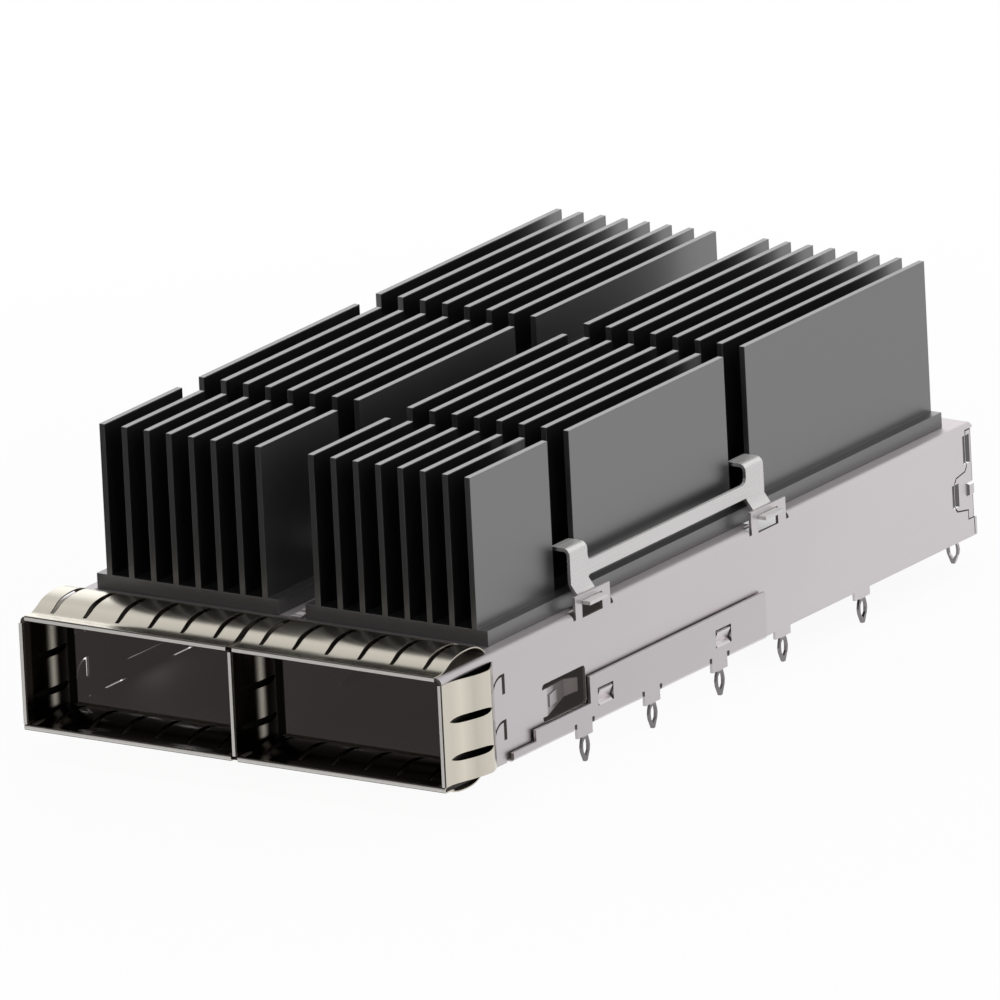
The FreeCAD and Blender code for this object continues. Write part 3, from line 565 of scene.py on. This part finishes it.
@dataclass(frozen=True)
class StripFinish(SheetFinish):
    """Spring strip: a painted highlight line round the rim with painted shade where it rounds off, painted
    reflections along the fingers, painted shade on the legs inside the ports.
    """

    # painted highlight on the rim's nose where it faces forward, and painted shade where it rounds off
    nose: Colour = (0.60, 0.58, 0.55)
    turn_shade: Colour = (0.07, 0.065, 0.06)
    nose_depth: float = 0.22
    nose_blur: float = 0.06
    line_look: Span = (0.86, 0.97)
    turn_look: Span = (0.25, 0.45)
    rim: float = -37.65
    # painted reflections along the fingers: (depth behind the rim, tone)
    reflection_bands: tuple[Span, ...] = ((0.0, 0.95), (1.2, 0.96), (2.2, 1.10), (3.4, 0.86), (4.6, 0.97),
                               (6.4, 0.90), (7.1, 0.74))
    # painted shade on the inner legs, and a painted highlight along the upright legs' crests
    inner: Colour = (0.05, 0.045, 0.038)
    crest_highlight: Colour = (0.98, 0.91, 0.78)
    crest: float = 3.2
    crest_half: float = 0.85
    width: float = 19.40
    height: Span = (3.0, 11.55)
    upright: Span = (3.6, 10.9)
    upright_blur: float = 0.4
    roof: float = 11.70
    # painted shade on the strips that look up
    roof_shade: float = 0.84
    roof_roughness: float = 0.07
    # the painted highlights are less metallic and rougher
    highlight_matt: float = 0.85
    highlight_roughness: float = 0.3
    blur: float = 0.05

    def reflection_tone(self, board: Board, depth: Wire) -> Wire:
        """Return the tone of the painted reflections along the fingers.

        Args:
            board: the material's board.
            depth: millimetres behind the rim.

        Returns:
            The tone as a grey.
        """
        reach = self.reflection_bands[-1][0]
        stops = [(place / reach, (tone, tone, tone)) for place, tone in self.reflection_bands]
        return board.node("ShaderNodeValToRGB", {"stops": stops}, {0: depth * (1.0 / reach)})

    def shaded(self, board: Board, place: Wire, inputs: dict[str, Value]) -> dict[str, Value]:
        """Return the shader's inputs with the strip's painted highlights, painted reflections and painted
        shade.

        Args:
            board: the material's board.
            place: the place on the object in millimetres.
            inputs: what they are on plain strip.

        Returns:
            The inputs; the crests of the upright inner legs keep a painted highlight that is less metallic
            and rougher.
        """
        x, y, z = board.axes(place)
        blur = self.blur
        depth = y - self.rim
        ahead = -1.0 * board.axes(board.normal())[1]
        nose = depth.fall(self.nose_depth - self.nose_blur, self.nose_depth + self.nose_blur)
        # painted highlight where the nose faces forward
        line = nose * ahead.step(*self.line_look)
        low, high = self.height
        within = abs(x).fall(self.width - blur, self.width) * z.step(low, low + blur)
        inner = within * z.fall(high - blur, high) * (1.0 - nose)
        bottom, top = self.upright
        level = z.step(bottom, bottom + self.upright_blur) * z.fall(top - self.upright_blur, top)
        crest_highlight = inner * level * abs(depth - self.crest).fall(0.0, self.crest_half)
        above = z.step(self.roof - blur, self.roof + blur)
        # painted reflections along the fingers, and painted shade on the strips that look up
        tone = self.reflection_tone(board, depth) * above.factor(self.roof_shade)
        toned = board.scaled(inputs["Base Color"], tone)
        # painted shade on the inner legs and a painted highlight on their crests
        legs = board.blend(crest_highlight, board.blend(inner, toned, self.inner), self.crest_highlight)
        # painted shade where the nose rounds off
        turned = board.blend(nose * ahead.step(*self.turn_look), legs, self.turn_shade)
        painted_highlight = line | crest_highlight
        rough = inputs["Roughness"] + self.highlight_roughness * painted_highlight + self.roof_roughness * above
        return inputs | {"Base Color": board.blend(line, turned, self.nose),
                         "Metallic": self.metallic - self.highlight_matt * painted_highlight, "Roughness": rough}


@dataclass(frozen=True)
class ClipFinish(SheetFinish):
    """Spring steel with a painted highlight on the faces that look up: paler and less metallic there."""

    # painted highlight on faces that look up: less metallic and paler
    matt: float = 0.55
    top_highlight: Colour = (0.80, 0.79, 0.78)
    top_look: Span = (0.3, 0.8)

    def shaded(self, board: Board, place: Wire, inputs: dict[str, Value]) -> dict[str, Value]:
        """Return the shader's inputs, paler as a painted highlight and less metallic where the face looks up.
        """
        top = board.axes(board.normal())[2].step(*self.top_look)
        return inputs | {"Base Color": board.blend(top, inputs["Base Color"], self.top_highlight),
                         "Metallic": self.metallic - self.matt * top}


@dataclass(frozen=True)
class AnodisedFinish(MetalFinish):
    """Black anodised extrusion: dark, semi-gloss, with faint upright tool marks, a painted highlight on its
    edges and painted shade between its fins.
    """

    ior: float = 2.45
    marks: Triple = (3.0, 9.0, 0.10)
    marks_share: float = 0.6
    marks_roughness: float = 0.08
    marks_depth: float = 0.10
    marks_height: float = 0.003
    specks: Triple = (14.0, 14.0, 14.0)
    specks_detail: float = 1.0
    specks_roughness: float = 0.05
    contrast: Span = (0.3, 0.7)
    darkest: float = 0.82
    lightest: float = 1.2
    # painted highlight on the edges, and its share
    painted_highlight: Colour = (0.05, 0.05, 0.052)
    edge_highlight_share: float = 0.5
    # painted shade between the fins: plain black, and its share
    gap_shade: Colour = (0.002, 0.002, 0.002)
    gap_shade_share: float = 0.65
    sink_middle: float = 9.8
    outer_fin: float = 7.3
    fin_tips: float = 25.3
    front_look: Span = (0.3, 0.7)
    open_end: Span = (28.0, 34.5)
    blur: float = 0.05

    def gap_shade_mask(self, board: Board, place: Wire) -> Wire:
        """Return 1 where painted shade goes between the fins and 0 on the faces that are open to the room.

        Args:
            board: the material's board.
            place: the place on the object in millimetres.

        Returns:
            Steps that leave out the outer fins, the fins' tips and fronts, and the open rear end.
        """
        x, y, z = board.axes(place)
        along = board.axes(board.normal("True Normal"))[1]
        aside = abs(abs(x) - self.sink_middle)
        between = aside.fall(self.outer_fin - self.blur, self.outer_fin + self.blur)
        below = z.fall(self.fin_tips - self.blur, self.fin_tips)
        return between * below * abs(along).fall(*self.front_look) * y.fall(*self.open_end)

    def surface(self, board: Board) -> Wire:
        """Return the sink's shader.

        Args:
            board: the material's board.

        Returns:
            A dark coat whose colour and roughness follow tool marks, specks and edges, with a painted
            highlight on the edges, mixed with plain black between the fins as painted shade.
        """
        place = board.place()
        marks = board.noise(place, self.marks)
        specks = board.noise(place, self.specks, self.specks_detail)
        normal = self.soft_normal(board)
        edge = self.edge_mask(board, normal)
        dark, light = (tuple(tone * c for c in self.colour) for tone in (self.darkest, self.lightest))
        pattern = self.marks_share * marks + (1.0 - self.marks_share) * specks
        tone = board.blend(pattern.step(*self.contrast), dark, light)
        bump = board.bump(self.marks_depth, self.marks_height, marks, normal)
        coat = board.node("ShaderNodeBsdfPrincipled", inputs={
            "Base Color": board.blend(edge * self.edge_highlight_share, tone, self.painted_highlight),
            "Metallic": self.metallic,
            "Roughness": self.roughness + self.marks_roughness * marks + self.specks_roughness * specks,
            "IOR": self.ior,
            "Normal": bump})
        # painted shade between the fins
        gap_shade_bsdf = board.node("ShaderNodeBsdfDiffuse", inputs={"Color": (*self.gap_shade, 1.0)})
        share = self.gap_shade_share * self.gap_shade_mask(board, place)
        return board.node("ShaderNodeMixShader", inputs={0: share, 1: coat, 2: gap_shade_bsdf})


class Finishes:
    """The finishes of this part, for the record's material slots."""

    CAGE = CageFinish("cage_sheet_satin", (0.52, 0.488, 0.50), 0.26)
    STRIP = StripFinish("spring_strip_champagne", (0.62, 0.58, 0.50), 0.16, edge=0.03,
                        bright=(0.80, 0.76, 0.68), grain=(2.0, 0.1, 2.0), grain_tone=0.02, grain_depth=0.0,
                        unevenness=0.02)
    # painted shade: a darker copy of the strip for its back, which faces the sheet
    STRIP_BACK_SHADE = SheetFinish("spring_strip_back", (0.22, 0.20, 0.17), 0.40, edge=0.03, highlight_share=0.0)
    CLIP = ClipFinish("clip_spring_steel", (0.60, 0.585, 0.585), 0.22, bright=(0.85, 0.84, 0.83))
    SINK = AnodisedFinish("sink_black_anodised", (0.008, 0.008, 0.0085), 0.30, metallic=0.0, edge=0.05)


# Mesh making with whole arrays
def grid_quads(rows: int, columns: int, keep: Optional[np.ndarray] = None) -> np.ndarray:
    """Return the quads of a grid of points.

    Args:
        rows: points along the first parameter.
        columns: points along the second.
        keep: which of the (rows - 1) x (columns - 1) quads to make; all of them if it isn't given.

    Returns:
        An (n, 4) array of point numbers, counted row by row.
    """
    numbers = np.arange(rows * columns).reshape(rows, columns)
    quads = np.stack([numbers[:-1, :-1], numbers[1:, :-1], numbers[1:, 1:], numbers[:-1, 1:]], axis=-1)
    return quads.reshape(-1, 4) if keep is None else quads[keep]


def add_surface(name: str, points: np.ndarray, quads: np.ndarray) -> bpy.types.Object:
    """Return an object at the origin from points in millimetres.

    Args:
        name: the piece's name.
        points: an (n, 3) array.
        quads: an (m, 4) array of point numbers; points that no quad uses are dropped.

    Returns:
        The linked object.
    """
    used, packed = np.unique(quads, return_inverse=True)
    mesh = bpy.data.meshes.new(name)
    mesh.from_pydata((points[used] * MM).tolist(), [], packed.reshape(quads.shape).tolist())
    mesh.update()
    piece = bpy.data.objects.new(name, mesh)
    bpy.context.scene.collection.objects.link(piece)
    return piece


def shade_bends(mesh: bpy.types.Mesh) -> None:
    """Shade a mesh smooth along its curves and crisp where it turns by more than the crease angle."""
    mesh.polygons.foreach_set("use_smooth", np.ones(len(mesh.polygons), dtype=bool))
    mesh.set_sharp_from_angle(angle=CREASE)


def give_thickness(piece: bpy.types.Object, thickness: float) -> None:
    """Turn a surface into a sheet of even thickness, smooth along its curves and crisp at its rims.

    Args:
        piece: the object whose mesh is a surface; its back takes the second material.
        thickness: in millimetres, half to each side.
    """
    solid = piece.modifiers.new("thickness", "SOLIDIFY")
    solid.thickness = thickness * MM
    solid.offset = 0.0
    solid.material_offset = 1
    graph = bpy.context.evaluated_depsgraph_get()
    final = bpy.data.meshes.new_from_object(piece.evaluated_get(graph))
    piece.modifiers.clear()
    piece.data = final
    shade_bends(final)


def parabola_chain(corners: np.ndarray, steps: int) -> np.ndarray:
    """Return a smooth curve that follows a polygon of corners.

    The curve is a chain of parabolas: each touches the polygon at the middle of two neighbouring
    sides and takes the corner between them as its control point; the two ends are kept.

    Args:
        corners: an (n, 2) array.
        steps: points on each parabola.

    Returns:
        An (m, 2) array of points.
    """
    middles = (corners[1:] + corners[:-1]) / 2
    starts = np.concatenate([corners[:1], middles[1:-1]])
    ends = np.concatenate([middles[1:-1], corners[-1:]])
    t = np.linspace(0.0, 1.0, steps, endpoint=False)[None, :, None]
    curve = (1 - t) ** 2 * starts[:, None] + 2 * t * (1 - t) * corners[1:-1, None] + t ** 2 * ends[:, None]
    return np.concatenate([curve.reshape(-1, 2), corners[-1:]])


# Sub-assemblies
class Facing(Enum):
    """Which way the outside of a finger strip looks: (outward, along) as axes."""

    UP = ((0, 0, 1), (1, 0, 0))
    DOWN = ((0, 0, -1), (1, 0, 0))
    LEFT = ((-1, 0, 0), (0, 0, 1))
    RIGHT = ((1, 0, 0), (0, 0, 1))


@dataclass(frozen=True)
class Arch:
    """The arch of a spring finger behind its flat band; fold is a length in strip thicknesses."""

    rise: float
    front: float
    rear: float
    end: float
    fold: float = 2.5

    def corners(self, leg: float, band: float, side: int, strip: float) -> np.ndarray:
        """Return the control corners of one leg as (depth, outward), from the fold to the finger's end.

        Args:
            leg: distance of the strip's middle from the sheet's.
            band: length of the flat band.
            side: 1 for the outer leg, -1 for the inner one.
            strip: thickness of the strip.

        Returns:
            A (6, 2) array.
        """
        low = side * leg
        high = side * (leg + self.rise)
        near = strip / 2
        return np.array([(near, low), (self.fold * strip, low), (band, low),
                         (self.front, high), (self.rear, high), (self.end, low)])


@dataclass
class FingerStrip:
    """One spring finger strip folded round the front edge of a sheet."""

    node: str
    facing: Facing
    level: float
    slots: tuple[float, ...]
    outer: Arch
    inner: Arch
    slot_width: float
    slot_run: Span
    pinch: float
    taper: int
    inner_trims: Span = (-math.inf, math.inf)
    outer_trims: Span = (-math.inf, math.inf)
    rim: float = -37.65
    sheet: float = 0.25
    strip: float = 0.10
    band: float = 1.3
    steps: int = 12

    def profile(self) -> np.ndarray:
        """Return the strip's middle line.

        Returns:
            Points as (depth, outward), from the inner finger's end to the outer's.
        """
        leg = (self.sheet + self.strip) / 2
        out = self.outer.corners(leg, self.band, 1, self.strip)
        back = self.inner.corners(leg, self.band, -1, self.strip)
        return parabola_chain(np.concatenate([back[::-1], out]), self.steps)

    def columns(self) -> tuple[np.ndarray, np.ndarray]:
        """Return the columns of points along the strip.

        Returns:
            Where each column stands, and which way it moves as a slot widens: -1, 0 or 1.
        """
        along = Vector(self.facing.value[1])
        low, high = (corner.dot(along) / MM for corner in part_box(self.node))
        fixed = np.array([low, high, *self.inner_trims, *self.outer_trims])
        fixed = np.unique(fixed[(fixed >= low) & (fixed <= high)])
        slots = np.array(self.slots)
        places = np.concatenate([fixed, slots, slots])
        moves = np.concatenate([0 * fixed, 0 * slots - 1, 0 * slots + 1])
        order = np.lexsort((moves, places))
        return places[order], moves[order]

    def half_widths(self, depth: np.ndarray) -> np.ndarray:
        """Return half a slot's width at some depths.

        Args:
            depth: millimetres behind the rim.

        Returns:
            Half widths: full in the middle of the slot's run, and less by the pinch at its ends.
        """
        start, end = self.slot_run
        run = np.clip(2 * (depth - start) / (end - start) - 1, -1, 1)
        return self.slot_width / 2 * (1 - self.pinch * run ** self.taper)

    def kept(self, path: np.ndarray, places: np.ndarray, moves: np.ndarray) -> np.ndarray:
        """Return which quads of the grid are metal.

        Args:
            path: the profile.
            places: where the columns stand.
            moves: which way each moves as a slot widens.

        Returns:
            A boolean array: everything but the slots, and either leg beyond its trims.
        """
        depth, outward = ((path[1:] + path[:-1]) / 2).T
        middle = (places[1:] + places[:-1]) / 2
        in_slot = (moves[:-1] < 0) & (moves[1:] > 0)
        in_run = (depth > self.slot_run[0]) & (depth < self.slot_run[1])
        gone = in_run[:, None] & in_slot[None, :]
        for side, trims, start in ((-1, self.inner_trims, self.sheet), (1, self.outer_trims, self.band)):
            leg = (depth > start) & (side * outward > 0)
            gone |= leg[:, None] & ((middle < trims[0]) | (middle > trims[1]))[None, :]
        return ~gone

    def build(self) -> bpy.types.Object:
        """Make the strip in place of its CAD node.

        The surface is the profile carried along the sheet's edge: a point is the rim plus the
        profile's depth along y, plus the sheet's level and the profile's height outward.

        Returns:
            The finished piece.
        """
        path = self.profile()
        places, moves = self.columns()
        outward, along = (np.array(axis, dtype=float) for axis in self.facing.value)
        depth = (self.rim + path[:, 0])[:, None, None] * np.array([0.0, 1.0, 0.0])
        height = (self.level + path[:, 1])[:, None, None] * outward
        stations = places[None, :] + moves[None, :] * self.half_widths(path[:, 0])[:, None]
        points = depth + height + stations[:, :, None] * along
        quads = grid_quads(len(path), len(places), self.kept(path, places, moves))
        if np.cross((0.0, 1.0, 0.0), along) @ outward < 0:
            quads = quads[:, ::-1]
        piece = add_surface(self.node + "_fingers", points.reshape(-1, 3), quads)
        for finish in (Finishes.STRIP, Finishes.STRIP_BACK_SHADE):
            piece.data.materials.append(finish.material())
        give_thickness(piece, self.strip)
        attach(piece, "cage")
        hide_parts(self.node)
        return piece


@dataclass
class GasketSet:
    """The seven finger strips round the two openings."""

    port_middle: float = 9.8
    pitch: float = 3.05
    port_slots: int = 6
    port_slot: float = 0.55
    port_run: Span = (1.3, 6.6)
    port_pinch: float = 0.35
    port_taper: int = 2
    roof: float = 11.725
    floor: float = 2.825
    wall: float = 19.60
    upright_slots: Span = (5.10, 8.15)
    upright_slot: float = 0.60
    upright_run: Span = (1.0, 5.5)
    upright_pinch: float = 0.92
    upright_taper: int = 4
    corner_near: float = 0.875
    corner_far: float = 18.725
    bottom_far: float = 18.65
    outer: Arch = Arch(1.0, 2.95, 6.45, 7.15)
    wall_outer: Arch = Arch(1.0, 4.2, 5.7, 7.15)
    inner: Arch = Arch(0.55, 2.8, 4.9, 6.0)

    def port_strip(self, node: str, side: int, facing: Facing, level: float, reach: float) -> FingerStrip:
        """Return the strip above or below one port.

        Args:
            node: the CAD node it stands for.
            side: -1 for the left port, 1 for the right.
            facing: UP or DOWN.
            level: the sheet's middle, measured outward.
            reach: how far from the middle plane the outer fingers go.

        Returns:
            The strip, not yet built.
        """
        places = (np.arange(self.port_slots) - (self.port_slots - 1) / 2) * self.pitch
        slots = tuple(side * self.port_middle + places)
        inner_trims = tuple(sorted((side * self.corner_near, side * self.corner_far)))
        outer_trims = tuple(sorted((0.0, side * reach)))
        return FingerStrip(node, facing, level, slots, self.outer, self.inner, self.port_slot, self.port_run,
                           self.port_pinch, self.port_taper, inner_trims, outer_trims)

    def upright_strip(self, node: str, facing: Facing, level: float, outer: Arch) -> FingerStrip:
        """Return a strip on a side wall or on the divider."""
        return FingerStrip(node, facing, level, self.upright_slots, outer, self.inner, self.upright_slot,
                           self.upright_run, self.upright_pinch, self.upright_taper)

    def build(self) -> list[bpy.types.Object]:
        """Make all seven strips.

        Returns:
            The finished pieces.
        """
        strips = [
            self.port_strip("top_left_gasket", -1, Facing.UP, self.roof, self.wall),
            self.port_strip("top_right_gasket", 1, Facing.UP, self.roof, self.wall),
            self.port_strip("bottom_left_gasket", -1, Facing.DOWN, -self.floor, self.bottom_far),
            self.port_strip("bottom_right_gasket", 1, Facing.DOWN, -self.floor, self.bottom_far),
            self.upright_strip("left_gasket", Facing.LEFT, self.wall, self.wall_outer),
            self.upright_strip("right_gasket", Facing.RIGHT, self.wall, self.wall_outer),
            self.upright_strip("divider_gasket", Facing.RIGHT, 0.0, self.inner)]
        return [strip.build() for strip in strips]


@dataclass(frozen=True)
class ClipStretch:
    """A stretch of the clip between two planes across x."""

    name: str
    sink: str
    cuts: Span
    still: float
    lifted: float
    weld: float = 0.001

    def cut_from(self, whole: bpy.types.Mesh) -> bpy.types.Mesh:
        """Return the stretch's own mesh.

        Args:
            whole: the clip's CAD mesh, which is only read.

        Returns:
            A merged copy, cut off beyond both planes, closed there and shaded smooth on its bends.
        """
        shape = bmesh.new()
        shape.from_mesh(whole)
        bmesh.ops.remove_doubles(shape, verts=shape.verts, dist=self.weld * MM)
        for place, look in zip(self.cuts, (-1.0, 1.0)):
            parts = shape.verts[:] + shape.edges[:] + shape.faces[:]
            found = bmesh.ops.bisect_plane(shape, geom=parts, plane_co=(place * MM, 0.0, 0.0),
                                           plane_no=(look, 0.0, 0.0), clear_outer=True)
            rims = [part for part in found["geom_cut"] if isinstance(part, bmesh.types.BMEdge)]
            bmesh.ops.edgenet_fill(shape, edges=rims)
        bmesh.ops.recalc_face_normals(shape, faces=shape.faces)
        mesh = bpy.data.meshes.new(self.name)
        shape.to_mesh(mesh)
        shape.free()
        shade_bends(mesh)
        return mesh

    def build(self, node: str, whole: bpy.types.Mesh) -> bpy.types.Object:
        """Make the stretch and hide the clip's CAD node.

        Args:
            node: the clip's CAD node.
            whole: its mesh.

        Returns:
            The finished piece.
        """
        piece = bpy.data.objects.new(self.name, self.cut_from(whole))
        bpy.context.scene.collection.objects.link(piece)
        piece.data.materials.clear()
        piece.data.materials.append(Finishes.CLIP.material())
        start, end = ((place * MM, 0.0, 0.0) for place in (self.still, self.lifted))
        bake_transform(piece)
        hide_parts(node)
        return piece


@dataclass
class HeatSinkClip:
    """The spring clip in four stretches, cut at its middle and at its feet."""

    node: str = "heat_sink_clip"
    foot: float = 9.8
    foot_half: float = 1.5
    ledge: float = 17.0
    reach: float = 30.0

    def build(self, frame: dict[str, Any]) -> list[bpy.types.Object]:
        """Make the four stretches in place of the CAD node.


        Returns:
            The finished pieces.
        """
        whole = frame["nodes"][self.node].data
        pieces = []
        for side, hand in ((-1, "left"), (1, "right")):
            near, middle, far = (side * (self.foot + move) for move in (-self.foot_half, 0.0, self.foot_half))
            stretches = (("end", (middle, side * self.reach), side * self.ledge, far),
                         ("middle", (0.0, middle), 0.0, near))
            for part, cuts, still, lifted in stretches:
                name = f"{self.node}_{hand}_{part}"
                stretch = ClipStretch(name, f"{hand}_sink", tuple(sorted(cuts)), still, lifted)
                pieces.append(stretch.build(self.node, whole))
        return pieces


@dataclass
class DressedNodes:
    """CAD nodes whose shapes are right and which only get a finish."""

    nodes: tuple[str, ...]
    finish: Finish

    def build(self, frame: dict[str, Any]) -> list[bpy.types.Object]:
        """Give every node the finish.


        Returns:
            The nodes' objects.
        """
        pieces = [frame["nodes"][name] for name in self.nodes]
        for piece in pieces:
            for slot in piece.material_slots:
                slot.material = self.finish.material()
        return pieces


# Studio
@dataclass(frozen=True)
class PhotoCamera:
    """A long lens at the photograph's viewing angle."""

    lens: float = 1600.0
    sensor: float = 36.0
    clip_end: float = 20.0
    position: Triple = (1887.444, -2738.106, 1016.549)
    right: Triple = (0.8305107, 0.5549649, -0.0476011)
    down: Triple = (0.1227489, -0.2657117, -0.956206)
    forward: Triple = (-0.543309, 0.7882964, -0.2887977)

    def build(self) -> None:
        """Make the camera and give it to the scene."""
        data = bpy.data.cameras.new("photo_camera")
        data.lens = self.lens
        data.sensor_width = self.sensor
        data.clip_end = self.clip_end
        axes = Matrix((self.right, -Vector(self.down), -Vector(self.forward))).transposed()
        camera = bpy.data.objects.new("photo_camera", data)
        camera.matrix_world = Matrix.Translation(Vector(self.position) * MM) @ axes.to_4x4()
        bpy.context.scene.collection.objects.link(camera)
        bpy.context.scene.camera = camera


@dataclass(frozen=True)
class Softbox:
    """A square area lamp that looks at the middle of the part; its place and size are in metres."""

    name: str
    place: Triple
    size: float
    radiance: float

    def build(self) -> None:
        """Make the lamp; its power follows from its size and radiance."""
        data = bpy.data.lights.new(self.name, "AREA")
        data.size = self.size
        data.energy = self.radiance * math.pi * self.size ** 2
        lamp = bpy.data.objects.new(self.name, data)
        lamp.location = self.place
        lamp.rotation_euler = (-Vector(self.place)).to_track_quat("-Z", "Y").to_euler()
        bpy.context.scene.collection.objects.link(lamp)


@dataclass(frozen=True)
class FloorFinish(Finish):
    """Pale floor that keeps a soft shadow near the part and runs out to plain white."""

    shadow_share: float = 0.06
    fade: Span = (60.0, 140.0)
    under_side: Span = (10.0, 13.0)
    under_middle: float = 7.0
    under_half: Span = (34.0, 38.0)

    def surface(self, board: Board) -> Wire:
        """Return the floor's shader.

        Args:
            board: the material's board.

        Returns:
            A mix of a lit white and a plain white, with only the lit one right under the part and only the
            plain one far from it.
        """
        x, y, _ = board.axes(board.place())
        away = (x * x + y * y).maths("SQRT")
        under = abs(x).fall(*self.under_side) * abs(y - self.under_middle).fall(*self.under_half)
        lit = board.node("ShaderNodeBsdfDiffuse", inputs={"Color": (*self.colour, 1.0)})
        plain = board.node("ShaderNodeEmission", inputs={"Color": (*WHITE, 1.0)})
        share = 1.0 - self.shadow_share * away.fall(*self.fade)
        return board.node("ShaderNodeMixShader", inputs={0: share * (1.0 - under), 1: lit, 2: plain})


@dataclass(frozen=True)
class CardFinish(Finish):
    """Matt dark card."""

    def surface(self, board: Board) -> Wire:
        """Return a plain matt shader."""
        return board.node("ShaderNodeBsdfDiffuse", inputs={"Color": (*self.colour, 1.0)})


@dataclass(frozen=True)
class DarkCard:
    """A dark card in front of the part, left of the camera, that bright metal mirrors in its front faces."""

    finish: CardFinish = CardFinish("card_dark", (0.06, 0.06, 0.06))
    across: Span = (-170.0, 45.0)
    near: float = -44.0
    far: float = -150.0
    height: float = 110.0
    lift: float = 0.4

    def build(self) -> None:
        """Make the card: it lies low from near to far and then stands up, and only reflections show it."""
        x = np.array(self.across)[None, :]
        y = np.array([self.near, self.far, self.far])[:, None]
        z = np.array([self.lift, self.lift, self.height])[:, None]
        points = np.stack(np.broadcast_arrays(x, y, z), axis=-1)
        card = add_surface("dark_card", points.reshape(-1, 3), grid_quads(*points.shape[:2]))
        card.data.materials.append(self.finish.material())
        card.visible_camera = False
        card.visible_diffuse = False
        card.visible_shadow = False


@dataclass
class Studio:
    """White studio: floor, world, lamps, dark card and camera."""

    floor_finish: FloorFinish = FloorFinish("floor_white", (0.95, 0.95, 0.95))
    floor_reach: float = 900.0
    floor_points: int = 5
    fill: float = 0.55
    lamps: tuple[Softbox, ...] = (
        Softbox("key_right", (0.42, -0.12, 0.34), 0.30, 1.7),
        Softbox("back_left", (-0.40, 0.52, 0.24), 0.36, 0.9),
        Softbox("overhead", (0.02, -0.02, 0.60), 0.36, 1.2))
    card: DarkCard = DarkCard()
    camera: PhotoCamera = PhotoCamera()

    def build_floor(self) -> None:
        """Make the floor: a square grid of points at the height of the pin tips."""
        edge = np.linspace(-self.floor_reach, self.floor_reach, self.floor_points)
        x, y = np.meshgrid(edge, edge, indexing="ij")
        points = np.stack([x, y, np.zeros_like(x)], axis=-1)
        floor = add_surface("studio_floor", points.reshape(-1, 3), grid_quads(*points.shape[:2]))
        floor.data.materials.append(self.floor_finish.material())

    def build_world(self) -> None:
        """Make a white world: plain white to the camera and in reflections, softer as light."""
        world = bpy.data.worlds.new("white_studio")
        world.use_nodes = True
        board = Board(world.node_tree)
        camera = board.node("ShaderNodeLightPath", output="Is Camera Ray")
        seen = camera | camera.other("Is Glossy Ray") | camera.other("Is Transmission Ray")
        strength = self.fill + (1.0 - self.fill) * seen
        back = board.node("ShaderNodeBackground", inputs={"Color": (*WHITE, 1.0), "Strength": strength})
        board.node("ShaderNodeOutputWorld", inputs={"Surface": back})
        bpy.context.scene.world = world

    def build(self) -> None:
        """Make everything round the part."""
        self.build_floor()
        self.build_world()
        for lamp in self.lamps:
            lamp.build()
        self.card.build()
        self.camera.build()
        bpy.context.scene.view_settings.view_transform = "Standard"


def report(pieces: list[bpy.types.Object]) -> None:
    """Log each piece with its number of faces."""
    for piece in pieces:
        LOG.info("%s: %d faces", piece.name, len(piece.data.polygons))


def main() -> None:
    """Dress the part and set up the studio round it."""
    logging.basicConfig(level=logging.INFO)
    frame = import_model()
    sheets = ("cage_cover", "cage_base", "rear_panel", "port_divider")
    sinks = ("left_heat_sink", "right_heat_sink")
    report(DressedNodes(sheets, Finishes.CAGE).build(frame))
    report(DressedNodes(sinks, Finishes.SINK).build(frame))
    report(HeatSinkClip().build(frame))
    report(GasketSet().build())
    Studio().build()


if __name__ == "__main__":
    main()
